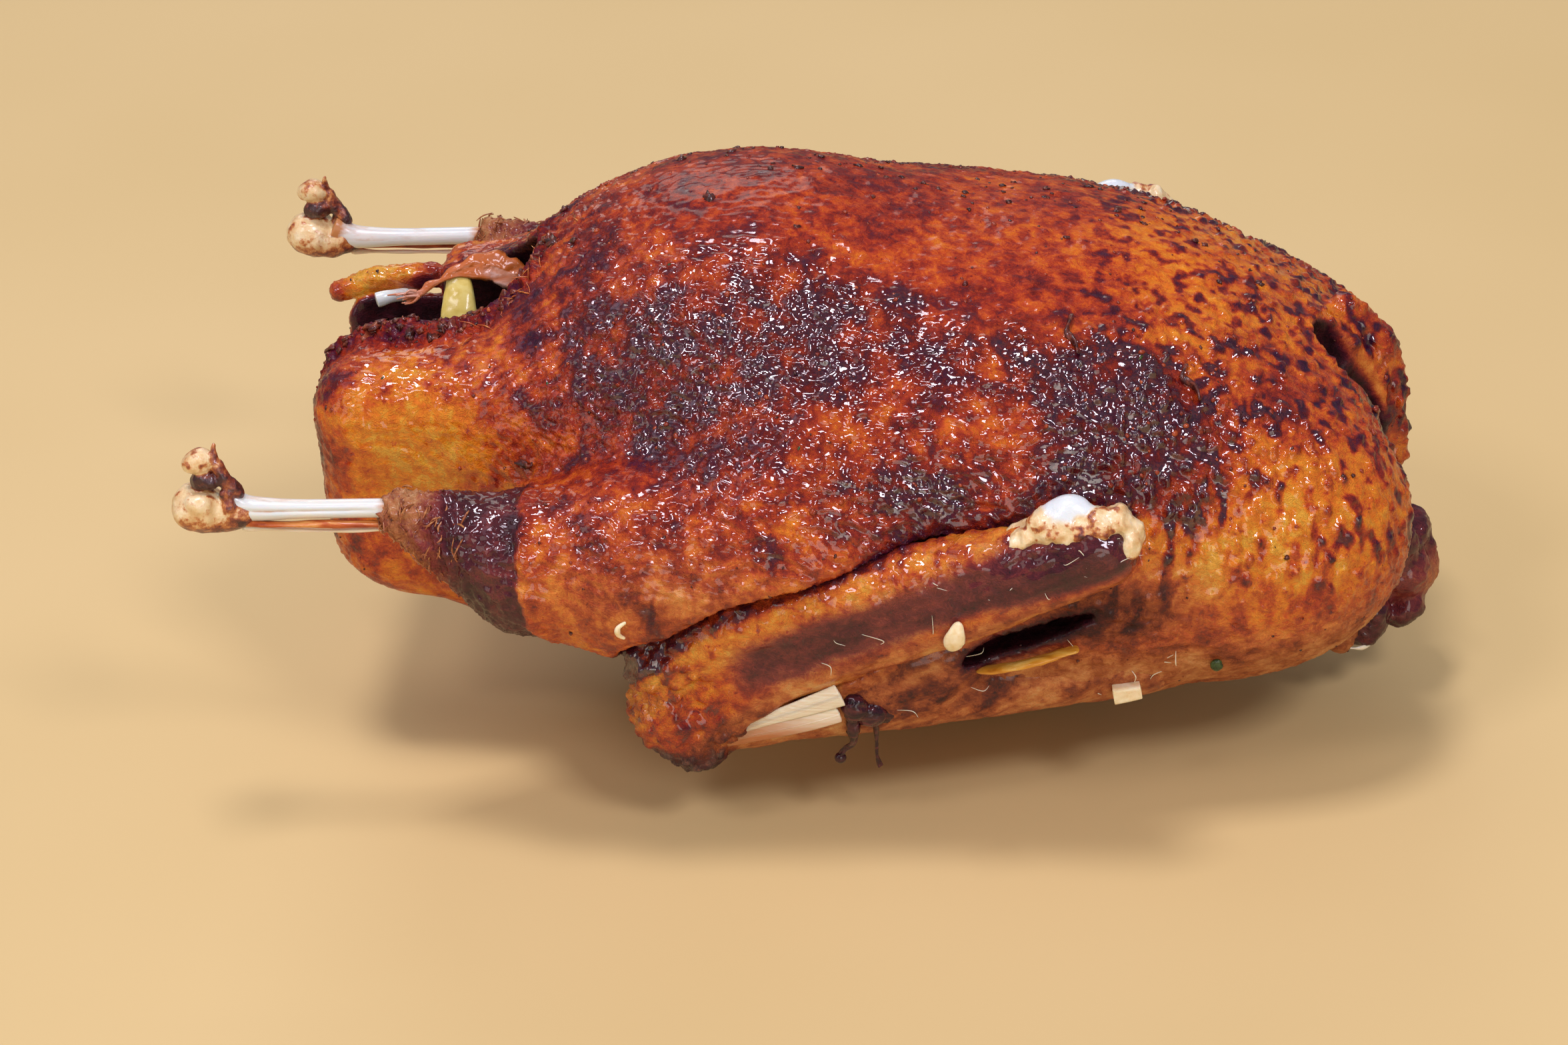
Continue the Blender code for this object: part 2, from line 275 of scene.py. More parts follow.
@dataclass(frozen=True)
class Chain:
    """A tapering round lump along a bent line."""

    knots: tuple[Triple, ...]
    radii: tuple[float, ...]

    def limbs(self) -> list[Limb]:
        """One limb for each joint of the line."""
        ends = zip(self.knots, self.knots[1:], self.radii, self.radii[1:])
        return [Limb(*end) for end in ends]

    def distance(self, points: Array) -> Array:
        """The least of the limbs' distances."""
        return np.min([limb.distance(points) for limb in self.limbs()], axis=0)

    def locate(self, points: Array) -> tuple[Array, Array, Array]:
        """Where each point lies beside the line.

        Returns:
            The share of the way along, the gap from the line, and how far the point stands above
            the line, square to it, as seen from the side.
        """
        nearest = np.full(len(points), 1e9, np.float32)
        share, rise = np.zeros_like(nearest), np.zeros_like(nearest)
        for index, limb in enumerate(self.limbs()):
            part, gap = limb.along(points)
            start, run = np.array(limb.start), np.array(limb.end) - np.array(limb.start)
            up = unit(np.array([-run[2], 0.0, run[0]]))
            closer = gap < nearest
            nearest = np.where(closer, gap, nearest)
            share = np.where(closer, (index + part) / (len(self.knots) - 1), share)
            rise = np.where(closer, (points - start - part[:, None] * run) @ up, rise)
        return share, nearest, rise


@dataclass(frozen=True)
class Block:
    """A box with rounded edges, tilted about Y."""

    middle: Triple
    half: Triple
    rounding: float
    pitch: float = 0.0

    def distance(self, points: Array) -> Array:
        """The length of what sticks out of the shrunken box, less the rounding."""
        gap = Ball(self.middle, self.half, self.pitch).local(points)
        over = np.abs(gap) - (np.array(self.half, np.float32) - self.rounding)
        outside = np.linalg.norm(np.maximum(over, 0.0), axis=1)
        return outside + np.minimum(over.max(1), 0.0) - self.rounding


def melted(first: Array, lumps: Sequence, widths: float | Sequence[float], points: Array) -> Array:
    """A field with lumps added to it one after another, each eased in over its width."""
    for lump, width in zip(lumps, np.broadcast_to(widths, len(lumps)).tolist()):
        first = blended(first, lump.distance(points), width)
    return first


@dataclass(frozen=True)
class Patch:
    """A soft-edged area of skin: a bell curve round a point."""

    middle: Triple
    reach: Triple
    gain: float

    def strength(self, points: Array) -> Array:
        """The gain times e to the power of minus the squared scaled distance."""
        gap = (points - np.array(self.middle)) / np.array(self.reach)
        return self.gain * np.exp(-np.einsum("ij,ij->i", gap, gap))


# ---------------------------------------------------------------- shapes


@dataclass
class Shape:
    """A closed surface: points in millimetres, its faces and values kept at its points."""

    points: Array
    quads: Array
    triangles: Array = field(default_factory=lambda: np.zeros((0, 3), int))
    marks: dict[str, Array] = field(default_factory=dict)

    @property
    def places(self) -> Array:
        """The points in single precision, as the noise takes them."""
        return self.points.astype(np.float32)

    def normals(self) -> Array:
        """The sum of the normals of the faces round each point, made unit length."""
        p, q, t = self.points, self.quads, self.triangles
        flat = [(q, np.cross(p[q[:, 2]] - p[q[:, 0]], p[q[:, 3]] - p[q[:, 1]]))]
        flat.append((t, np.cross(p[t[:, 1]] - p[t[:, 0]], p[t[:, 2]] - p[t[:, 0]])))
        total = np.zeros_like(p)
        for faces, normal in flat:
            for corner, axis in itertools.product(range(faces.shape[1]), range(3)):
                total[:, axis] += np.bincount(faces[:, corner], normal[:, axis], len(p))
        return unit(total)

    def volume(self) -> float:
        """Six times the signed volume of the fans from the origin to each face."""
        p, q, t = self.points, self.quads, self.triangles
        flat = np.concatenate([q[:, [0, 1, 2]], q[:, [0, 2, 3]], t])
        return float(np.einsum("ij,ij->", p[flat[:, 0]], np.cross(p[flat[:, 1]], p[flat[:, 2]])))

    def outward(self) -> "Shape":
        """The same shape with its faces turned round if they point inwards."""
        if self.volume() < 0.0:
            self.quads, self.triangles = self.quads[:, ::-1], self.triangles[:, ::-1]
        return self

    def on(self, side: Side) -> "Shape":
        """The shape drawn for the near side, mirrored if the far side is wanted."""
        if side is Side.FAR:
            self.points = self.points * np.array([1.0, -1.0, 1.0])
        return self.outward()

    def raised(self, height: Array) -> "Shape":
        """Each point moved along its normal by its own height."""
        self.points = self.points + self.normals() * height[:, None]
        return self


def together(shapes: Sequence[Shape]) -> Shape:
    """Several shapes as one, keeping the marks that all of them have."""
    starts = np.cumsum([0] + [len(shape.points) for shape in shapes[:-1]])
    names = set.intersection(*(set(shape.marks) for shape in shapes))
    return Shape(
        np.concatenate([shape.points for shape in shapes]),
        np.concatenate([shape.quads + start for shape, start in zip(shapes, starts)]),
        np.concatenate([shape.triangles + start for shape, start in zip(shapes, starts)]),
        {name: np.concatenate([shape.marks[name] for shape in shapes]) for name in sorted(names)},
    )


def ringed(rings: Array, first: Array, last: Array) -> Shape:
    """A closed surface from rings of points, with a pole at each end.

    Args:
        rings: rows by columns by 3; each row is one ring and closes on itself.
        first: the pole before the first ring.
        last: the pole after the last ring.
    """
    rows, columns = rings.shape[:2]
    index = np.arange(rows * columns).reshape(rows, columns)
    beside = np.roll(index, -1, axis=1)
    quads = np.stack([index[:-1], beside[:-1], beside[1:], index[1:]], -1).reshape(-1, 4)
    poles = rows * columns + np.array([0, 1])
    opening = np.stack([beside[0], index[0], np.full(columns, poles[0])], 1)
    closing = np.stack([index[-1], beside[-1], np.full(columns, poles[1])], 1)
    points = np.concatenate([rings.reshape(-1, 3), [first, last]])
    return Shape(points, quads, np.concatenate([opening, closing])).outward()


def smooth_path(knots: Sequence[Triple] | Array, count: int) -> Array:
    """Evenly numbered points on the Catmull-Rom curve through the knots."""
    knots = np.array(knots, float)
    place = np.linspace(0.0, len(knots) - 1.0, count)
    index = np.minimum(place.astype(int), len(knots) - 2)
    t = (place - index)[:, None]
    a, b, c, d = (knots[np.clip(index + k, 0, len(knots) - 1)] for k in (-1, 0, 1, 2))
    bend = (2 * a - 5 * b + 4 * c - d) * t + (3 * b - a - 3 * c + d) * t * t
    return b + 0.5 * ((c - a) * t + bend * t)


def carried(
    knots: Sequence[Triple] | Array,
    rows: int,
    reach: Profile,
    out: Triple = (0.0, -1.0, 0.0),
    columns: int = 48,
    cap: float = 0.06,
) -> Shape:
    """A profile carried along a smooth path, closed by round ends.

    The point at share s of the path and angle a stands reach(s, a) from the path, where angle 0
    faces out and a quarter turn faces up. Near each end the reach shrinks like a quarter circle.

    Args:
        knots: the points that the path passes through.
        rows: how many points the path has.
        reach: gives the radius in millimetres for arrays of s and a.
        out: the way that angle 0 faces, as nearly as the path allows.
        columns: how many points go round.
        cap: the share of the path that each round end takes.

    Returns:
        The shape, with marks "s" and "a" for the share and the angle.
    """
    path = smooth_path(knots, rows)
    tangent = unit(np.gradient(path, axis=0))
    sight = np.array(out, float)
    facing = unit(sight - tangent * (tangent @ sight)[:, None])
    upright = np.cross(facing, tangent)
    share = np.linspace(0.0, 1.0, rows)[:, None] * np.ones((1, columns))
    angle = np.linspace(0.0, TURN, columns, endpoint=False)[None, :] * np.ones((rows, 1))
    edge = clipped(np.minimum(share, 1.0 - share) / cap)
    radius = reach(share, angle) * np.sqrt(np.maximum(1.0 - (1.0 - edge) ** 2, 1e-4))
    spoke = np.cos(angle)[..., None] * facing[:, None] + np.sin(angle)[..., None] * upright[:, None]
    rings = path[:, None] + radius[..., None] * spoke
    shape = ringed(rings, path[0], path[-1])
    shape.marks["s"] = np.append(share.ravel(), [0.0, 1.0])
    shape.marks["a"] = np.append(angle.ravel(), [0.0, 0.0])
    return shape


def tapered(width: float, loss: float) -> Profile:
    """A round profile that loses a share of its width towards both ends."""
    return lambda s, a: width * (1.0 - loss * np.abs(2 * s - 1))


def wrapped(angle: Array) -> Array:
    """The same angle between minus and plus half a turn."""
    return np.angle(np.exp(1j * angle))


def oval(angle: Array, across: Array | float, tall: Array | float, power: float = 2.0) -> Array:
    """The radius of a rounded oval: (|cos/across|^n + |sin/tall|^n) to the power -1/n."""
    wide, high = np.abs(np.cos(angle) / across), np.abs(np.sin(angle) / tall)
    return (wide**power + high**power) ** (-1.0 / power)


def lumpy(middle: Triple, lumps: Sequence[Ball], rows: int, columns: int, soft: float = 0.35) -> Shape:
    """A surface of two angles round a middle: the furthest exit of each ray from the lumps.

    For each lump the ray's exit is the larger root of its quadratic; a soft maximum joins them.

    Args:
        middle: where the rays start, inside every lump or near it.
        lumps: the ellipsoids that make up the body.
        rows: how many rings lie between the poles.
        columns: how many points go round.
        soft: how softly the lumps run together, in millimetres.
    """
    polar = np.linspace(0.0, np.pi, rows + 2)[:, None]
    turn = np.linspace(0.0, TURN, columns, endpoint=False)[None, :]
    across, up = np.sin(polar), np.cos(polar) * np.ones_like(turn)
    ray = np.stack([across * np.cos(turn), across * np.sin(turn), up], -1).reshape(-1, 3)
    exits = []
    for lump in lumps:
        scale = np.array(lump.radii)
        start = lump.local(np.array([middle])) / scale
        heading = lump.local(ray + np.array(lump.middle)) / scale
        a = np.einsum("ij,ij->i", heading, heading)
        b = heading @ start[0]
        inside = b * b - a * (start[0] @ start[0] - 1.0)
        root = (-b + np.sqrt(np.maximum(inside, 0.0))) / a
        exits.append(np.where(inside > 0.0, root, NO_EXIT))
    exits = np.stack(exits)
    far = exits.max(0) + soft * np.log(np.exp((exits - exits.max(0)) / soft).sum(0))
    rings = (np.array(middle) + ray * far[:, None]).reshape(rows + 2, columns, 3)
    return ringed(rings[1:-1], rings[0, 0], rings[-1, 0])


def scattered(
    kernel: Shape, places: Array, normals: Array, sizes: Array, seed: int, ragged: float
) -> Shape:
    """One small shape set down many times, each turned, sized and roughened in its own way.

    Args:
        kernel: the small shape, about 1 mm in radius, with Z away from the skin.
        places: where each one stands.
        normals: the way each one stands up.
        sizes: each one's size along its own three axes, one row each.
        seed: starts the random turns.
        ragged: how far a point strays, as a share of its distance from the middle.
    """
    draw = np.random.default_rng(seed)
    helper = unit(draw.normal(size=places.shape))
    first = unit(np.cross(normals, helper))
    axes = np.stack([first, np.cross(normals, first), normals], 1)
    local = kernel.points[None] * sizes[:, None, :]
    stray = draw.uniform(-1.0, 1.0, (len(places), len(kernel.points), 1))
    local = local * (1.0 + ragged * stray)
    points = places[:, None] + np.einsum("nki,nij->nkj", local, axes)
    starts = (np.arange(len(places)) * len(kernel.points))[:, None, None]
    return Shape(
        points.reshape(-1, 3),
        (kernel.quads[None] + starts).reshape(-1, 4),
        (kernel.triangles[None] + starts).reshape(-1, 3),
    )


class SurfaceNet:
    """Wraps the zero surface of a field in a closed net of even quads.

    The field is read in blocks that lie near the surface. Each cell of the lattice that the
    surface passes through gets one point, at the mean of the crossings on its edges, and each
    crossed edge gets the quad of its four cells.
    """

    BLOCK = 4  # cells along the side of a block
    CHUNK = 150_000  # points read at a time
    REACH = 1.45  # blocks whose middle is nearer the surface, in block sides, are read in full

    def __init__(self, distance: Field, low: Triple | Array, high: Triple | Array, cell: float) -> None:
        """Splits the box from low to high into blocks of cells with the given side."""
        self.distance = distance
        self.low = np.array(low, np.float32)
        self.cell = cell
        self.blocks = np.ceil((np.array(high) - self.low) / (cell * self.BLOCK)).astype(int)

    def read(self, points: Array) -> Array:
        """The field at many points, read in handy portions."""
        parts = [self.distance(points[k : k + self.CHUNK]) for k in range(0, len(points), self.CHUNK)]
        return np.concatenate(parts).astype(np.float32)

    def lattice(self) -> Array:
        """The field on the whole lattice, exact near the surface and only its sign elsewhere."""
        step = self.cell * self.BLOCK
        corners = np.indices(self.blocks).reshape(3, -1).T
        rough = self.read((self.low + (corners + 0.5) * step).astype(np.float32))
        values = np.sign(rough).reshape(self.blocks) * step
        for axis in range(3):
            values = np.repeat(values, self.BLOCK, axis=axis)
        inner = np.indices((self.BLOCK,) * 3).reshape(3, -1).T
        near = corners[np.abs(rough) < self.REACH * step]
        index = (near[:, None] * self.BLOCK + inner[None]).reshape(-1, 3)
        values[tuple(index.T)] = self.read((self.low + index * self.cell).astype(np.float32))
        return values

    def wrap(self) -> Shape:
        """The closed net, its faces pointing out."""
        values = self.lattice()
        inside = values < 0.0
        size = np.array(values.shape) - 1

        def corner(grid: Array, offset: Triple) -> Array:
            """The lattice seen from one corner of each cell."""
            return grid[tuple(slice(k, k + n) for k, n in zip(offset, size))]

        offsets = list(itertools.product((0, 1), repeat=3))
        some = np.logical_or.reduce([corner(inside, offset) for offset in offsets])
        every = np.logical_and.reduce([corner(inside, offset) for offset in offsets])
        crossed = some & ~every
        cells = np.argwhere(crossed)
        number = np.full(crossed.shape, -1, np.int32)
        number[crossed] = np.arange(len(cells))

        total, count = np.zeros((len(cells), 3)), np.zeros(len(cells))
        for offset, axis in itertools.product(offsets, range(3)):
            if offset[axis]:
                continue
            step = np.eye(3, dtype=int)[axis]
            a = values[tuple((cells + offset).T)]
            b = values[tuple((cells + offset + step).T)]
            hit = (a < 0.0) != (b < 0.0)
            share = np.where(hit, a / np.where(hit, a - b, 1.0), 0.0)
            total += (np.array(offset) + share[:, None] * step) * hit[:, None]
            count += hit
        points = (cells + total / count[:, None]) * self.cell + self.low

        quads = []
        for axis in range(3):
            lower = [slice(1, -1)] * 3
            upper = list(lower)
            lower[axis], upper[axis] = slice(0, -1), slice(1, None)
            a, b = inside[tuple(lower)], inside[tuple(upper)]
            edges = np.argwhere(a != b)
            leaving = a[tuple(edges.T)]
            u, v = (axis + 1) % 3, (axis + 2) % 3
            around = []
            for du, dv in ((0, 0), (1, 0), (1, 1), (0, 1)):
                place = edges.copy()
                place[:, u] += du
                place[:, v] += dv
                around.append(number[tuple(place.T)])
            ring = np.stack(around, 1)
            quads.append(np.where(leaving[:, None], ring, ring[:, ::-1]))
        return Shape(points, np.concatenate(quads)).outward()


def relaxed(shape: Shape, rounds: int) -> Shape:
    """Each point moved half way to the mean of its neighbours, a few times over."""
    a, b = shape.quads.ravel(), np.roll(shape.quads, -1, axis=1).ravel()
    size = len(shape.points)
    count = np.bincount(a, minlength=size) + np.bincount(b, minlength=size)
    for _ in range(rounds):
        columns = shape.points.T
        total = [np.bincount(a, column[b], size) + np.bincount(b, column[a], size) for column in columns]
        shape.points = 0.5 * (shape.points + np.stack(total, 1) / count[:, None])
    return shape


def netted(field_at: Field, box: tuple[Triple, Triple], cell: float, rounds: int) -> Shape:
    return relaxed(SurfaceNet(field_at, *box, cell).wrap(), rounds)


def filled(shape: Shape, edges: Array) -> Array:
    """Triangles that face +X and fill the rims of a cut, with any hollow inside them left open.

    Args:
        shape: the shape that was cut.
        edges: the cut edges, each from one point's number to the next one's.
    """
    onward = dict(edges.tolist())
    rims = []
    while onward:
        first, point = onward.popitem()
        rim = [first]
        while point != first:
            rim.append(point)
            point = onward.pop(point)
        rims.append(rim)
    flat = shape.points[:, 1:]
    areas = [np.cross(flat[rim], np.roll(flat[rim], -1, axis=0)).sum() for rim in rims]
    largest = int(np.argmax(areas))
    hollows = [rim for rim, area in zip(rims, areas) if area < 0.0]
    triangles = []
    for number, (rim, area) in enumerate(zip(rims, areas)):
        if area < 0.0:
            continue
        loops = [rim] + (hollows if number == largest else [])
        corners = np.array(tessellate_polygon([flat[loop].tolist() for loop in loops]))
        fill = np.concatenate(loops)[corners]
        first, second, third = (flat[column] for column in fill.T)
        facing = np.cross(second - first, third - first).sum()
        triangles.append(fill if facing > 0.0 else fill[:, ::-1])
    return np.concatenate(triangles)


def sectioned(shape: Shape, layers: Array, cuts: Array) -> list[tuple[Shape, Array]]:
    """A long body cut across X into closed sections, each with the whole body's normals.

    Faces go to sections by the lattice layer that they reach, so every rim lies in one layer.
    Two sections share the triangles that close their rims, and points on a rim keep their
    normals, so that no seam shows.

    Args:
        shape: the whole body.
        layers: the lattice layer of each point.
        cuts: the last layer of each section but the last.
    """
    normals = shape.normals()
    total = len(shape.points)
    owner = np.searchsorted(cuts, layers[shape.quads].max(1))
    starts = shape.quads.astype(np.int64)
    ends = np.roll(starts, -1, axis=1)
    caps = [np.zeros((0, 3), int)]
    for part in range(len(cuts)):
        before, after = owner <= part, owner > part
        backward = ends[before] * total + starts[before]
        forward = starts[after] * total + ends[after]
        edges = np.divmod(np.intersect1d(backward, forward), total)
        caps.append(filled(shape, np.stack(edges, 1)))
    caps.append(caps[0])
    sections = []
    for part in range(len(cuts) + 1):
        quads = shape.quads[owner == part]
        used, compact = np.unique(quads, return_inverse=True)
        triangles = np.searchsorted(used, np.concatenate([caps[part][:, ::-1], caps[part + 1]]))
        marks = {name: value[used] for name, value in shape.marks.items()}
        section = Shape(shape.points[used], compact.reshape(quads.shape), triangles, marks)
        sections.append((section, normals[used]))
    return sections


def placed(name: str, data: bpy.types.ID) -> bpy.types.Object:
    """A new object in the scene, at the origin."""
    item = bpy.data.objects.new(name, data)
    bpy.context.scene.collection.objects.link(item)
    return item


def put(name: str, shape: Shape, normals: Optional[Array] = None) -> bpy.types.Object:
    """Puts a shape into a new mesh object at the origin, in metres and shaded smooth."""
    mesh = bpy.data.meshes.new(name)
    corners = np.concatenate([shape.quads.ravel(), shape.triangles.ravel()]).astype(np.int32)
    sizes = np.concatenate([np.full(len(shape.quads), 4), np.full(len(shape.triangles), 3)])
    starts = np.concatenate([[0], np.cumsum(sizes)[:-1]]).astype(np.int32)
    mesh.vertices.add(len(shape.points))
    mesh.vertices.foreach_set("co", (shape.points * MM).astype(np.float32).ravel())
    mesh.loops.add(len(corners))
    mesh.loops.foreach_set("vertex_index", corners)
    mesh.polygons.add(len(sizes))
    mesh.polygons.foreach_set("loop_start", starts)
    mesh.update(calc_edges=True)
    mesh.validate()
    for mark, value in shape.marks.items():
        kept = mesh.attributes.new(mark, "FLOAT", "POINT")
        kept.data.foreach_set("value", value.astype(np.float32))
    mesh.shade_smooth()
    if normals is not None:
        mesh.normals_split_custom_set_from_vertices(normals.astype(float).tolist())
    return placed(name, mesh)


def serve(
    name: str, shape: Shape, finish: Material, slot: Slot, *nodes: str, normals: Optional[Array] = None
) -> None:
    """Makes a finished piece: its mesh, its material, its body and what it replaces; the slot is not used."""
    item = put(name, shape, normals)
    item.data.materials.append(finish)
    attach(item, "root")
    if nodes:
        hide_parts(*nodes)
    LOG.info("%s: %d points, %d faces", name, len(shape.points), len(item.data.polygons))


# ---------------------------------------------------------------- finishes


FLESHY = {"Subsurface_Scale": 0.002}


class Recipe:
    """Writes the nodes of one material; sizes are in millimetres over Object coordinates."""

    def __init__(self, name: str, **surface: float) -> None:
        """Starts a material, with plain values for the shader's sockets."""
        self.material = bpy.data.materials.new(name)
        self.material.use_nodes = True
        self.tree = self.material.node_tree
        self.shader = self.tree.nodes["Principled BSDF"]
        for socket, value in surface.items():
            self.shader.inputs[socket.replace("_", " ")].default_value = value
        self.place = self.add("ShaderNodeTexCoord").outputs["Object"]

    def add(self, kind: str, inputs: Optional[dict] = None, **settings: object) -> bpy.types.Node:
        """A node of the wanted kind, its settings made and its inputs set or linked."""
        node = self.tree.nodes.new(kind)
        for name, value in settings.items():
            setattr(node, name, value)
        for socket, value in (inputs or {}).items():
            self.feed(node.inputs[socket], value)
        return node

    def feed(self, socket: Socket, value: Value) -> None:
        """Links another node's output to a socket, or sets the socket to a plain value."""
        if isinstance(value, Socket):
            self.tree.links.new(value, socket)
        else:
            socket.default_value = value

    def noise(
        self,
        size: float,
        detail: float = 3.0,
        rough: float = 0.55,
        stretch: Triple = EVEN,
        twist: float = 0.0,
    ) -> Socket:
        """Cloudy noise with lumps of the given size, longer along an axis where stretch is over 1."""
        scale = tuple(1.0 / k for k in stretch)
        place = self.add("ShaderNodeMapping", {"Vector": self.place, "Scale": scale}).outputs[0]
        inputs = {"Vector": place, "Scale": 1.0 / (size * MM), "Detail": detail}
        inputs.update({"Roughness": rough, "Distortion": twist})
        return self.add("ShaderNodeTexNoise", inputs).outputs["Fac"]

    def mark(self, name: str) -> Socket:
        """A value kept at the mesh's points."""
        return self.add("ShaderNodeAttribute", attribute_name=name).outputs["Fac"]

    def maths(self, operation: str, a: Value, b: Value = 0.0) -> Socket:
        """One step of arithmetic."""
        return self.add("ShaderNodeMath", {0: a, 1: b, 2: 0.0}, operation=operation).outputs[0]

    def total(self, first: Value, *others: Value) -> Socket:
        """The first value with the others added one after another."""
        for other in others:
            first = self.maths("ADD", first, other)
        return first

    def times(self, first: Value, second: Value) -> Socket:
        """The first value times the second."""
        return self.maths("MULTIPLY", first, second)

    def less(self, first: Value, second: Value) -> Socket:
        """The first value less the second."""
        return self.maths("SUBTRACT", first, second)

    def span(self, value: Value, low: float, high: float, start: float = 0.0, end: float = 1.0) -> Socket:
        """The value's place between low and high, clamped, moved to between start and end."""
        inputs = {"Value": value, "From Min": low, "From Max": high, "To Min": start, "To Max": end}
        return self.add("ShaderNodeMapRange", inputs).outputs[0]

    def ramp(self, share: Value, stops: Stops) -> Socket:
        """Colours along a share from 0 to 1."""
        node = self.add("ShaderNodeValToRGB", {"Fac": share})
        points = node.color_ramp.elements
        for index, (place, colour) in enumerate(stops):
            point = points[index] if index < 2 else points.new(place)
            point.position = place
            point.color = (*colour, 1.0)
        return node.outputs["Color"]

    def mix(self, share: Value, first: Value, second: Value) -> Socket:
        """Two colours mixed; each is an output or a plain colour."""
        node = self.add("ShaderNodeMix", {"Factor": share}, data_type="RGBA")
        for socket, value in ((node.inputs["A"], first), (node.inputs["B"], second)):
            wanted = next(s for s in node.inputs if s.name == socket.name and s.type == "RGBA")
            self.feed(wanted, value if isinstance(value, Socket) else (*value, 1.0))
        return next(s for s in node.outputs if s.type == "RGBA")

    def relief(self, height: Value, depth: float) -> None:
        """Fine relief: the height, from 0 to 1, times a depth in millimetres."""
        normal = self.shader.inputs["Normal"]
        inputs = {"Height": height, "Distance": depth * MM, "Strength": 1.0}
        if normal.is_linked:
            inputs["Normal"] = normal.links[0].from_socket
        self.feed(normal, self.add("ShaderNodeBump", inputs).outputs[0])

    def colour(self, value: Value) -> None:
        """Feeds the base colour."""
        self.feed(self.shader.inputs["Base Color"], value)

    def roughness(self, value: Value) -> None:
        """Feeds the roughness."""
        self.feed(self.shader.inputs["Roughness"], value)


@dataclass(frozen=True)
class RoastSkin:
    """Skin from pale and fatty to burnt; marks at the points say how far each place has gone.

    The mark "done" runs from 0, pale fat, to 1, black; near 1 it also carries painted shade in the
    creases, the pocket and under the forearms and in the tail and neck openings. "char" is the share
    of fine spots that are burnt, and on the wing it also carries painted shade in the crease above the
    forearm. "pale" brings in dull skin, "meat" bare dark meat and also painted shade in the openings
    and the pocket, and "wet" gloss.
    """

    name: str = "roast_skin"
    roasted: Stops = (
        (0.00, (0.74, 0.36, 0.035)),
        (0.14, (0.74, 0.235, 0.012)),
        (0.30, (0.66, 0.155, 0.008)),
        (0.46, (0.50, 0.066, 0.008)),
        (0.60, (0.32, 0.024, 0.007)),
        (0.74, (0.15, 0.009, 0.007)),
        (0.87, (0.075, 0.0040, 0.020)),
        (1.00, (0.032, 0.0020, 0.022)),
    )
    dull: Stops = (
        (0.00, (0.62, 0.36, 0.15)),
        (0.30, (0.50, 0.20, 0.065)),
        (0.55, (0.34, 0.095, 0.028)),
        (0.80, (0.15, 0.028, 0.012)),
        (1.00, (0.04, 0.010, 0.008)),
    )
    bare: Stops = (
        (0.00, (0.52, 0.30, 0.13)),
        (0.25, (0.42, 0.15, 0.055)),
        (0.50, (0.21, 0.032, 0.028)),
        (0.75, (0.075, 0.008, 0.015)),
        (1.00, (0.018, 0.004, 0.006)),
    )

    def make(self) -> Material:
        """Colour by three ramps mixed by the marks, gloss and fine wrinkled relief."""
        r = Recipe(self.name, IOR=1.45, Specular_IOR_Level=0.10)
        done, pale, meat, wet, char = (r.mark(name) for name in ("done", "pale", "meat", "wet", "char"))
        mottle = r.noise(3.0, 4.0, 0.55, twist=0.4)
        fine = r.noise(0.9, 3.0, 0.6, twist=0.8)
        patchy = r.total(char, r.span(mottle, 0.25, 0.75, -0.75, 0.75), r.span(fine, 0.25, 0.75, -0.28, 0.28))
        burnt = r.span(patchy, 0.46, 0.94)
        folds, crinkles = self.wrinkles(r, 2.0, 0.09), self.wrinkles(r, 0.9, 0.13)
        tone = r.total(
            done,
            r.times(r.span(mottle, 0.39, 0.61, -0.11, 0.11), r.span(meat, 0.0, 1.0, 1.0, 0.5)),
            r.span(fine, 0.3, 0.7, -0.04, 0.04),
            # the wrinkle hollows darker and the raised lines lighter: painted shade and light in the
            # wrinkles, partly the skin's own tone
            r.span(folds, 0.0, 1.0, 0.05, -0.06),
            r.span(r.noise(0.9, 2.0, 0.5), 0.68, 0.73, 0.0, 0.16),
        )
        black = r.total(0.85, r.span(fine, 0.35, 0.65, 0.13, -0.13))
        tone = r.total(r.times(tone, r.less(1.0, burnt)), r.times(black, burnt))
        colour = r.mix(pale, r.ramp(tone, self.roasted), r.ramp(tone, self.dull))
        r.colour(r.mix(meat, colour, r.ramp(tone, self.bare)))
        r.roughness(r.span(wet, 0.0, 1.0, 0.62, 0.42))
        coat = {
            "Coat Weight": r.total(r.span(wet, 0.1, 0.9, 0.06, 0.55), r.times(burnt, 0.4)),
            "Coat Roughness": r.span(wet, 0.2, 0.9, 0.22, 0.05),
            "Coat IOR": r.span(burnt, 0.0, 1.0, 1.7, 1.9),
        }
        for socket, value in coat.items():
            r.feed(r.shader.inputs[socket], value)
        rough = r.span(r.total(r.times(wet, 0.35), char), 0.0, 1.1, 0.12, 1.0)
        lumps = r.total(r.times(r.noise(0.8, 3.0, 0.6, twist=1.2), 0.7), r.times(crinkles, 0.5))
        r.relief(r.times(r.total(folds, lumps), rough), 0.30)
        r.relief(r.noise(0.35, 2.0, 0.5), 0.04)
        return r.material

    def wrinkles(self, r: Recipe, size: float, wide: float) -> Socket:
        """Thin raised lines where a twisted noise crosses its middle value."""
        cloud = r.noise(size, 3.0, 0.55, (1.4, 1.0, 1.0), 2.0)
        return r.less(1.0, r.span(r.maths("ABSOLUTE", r.less(cloud, 0.5)), 0.0, wide))


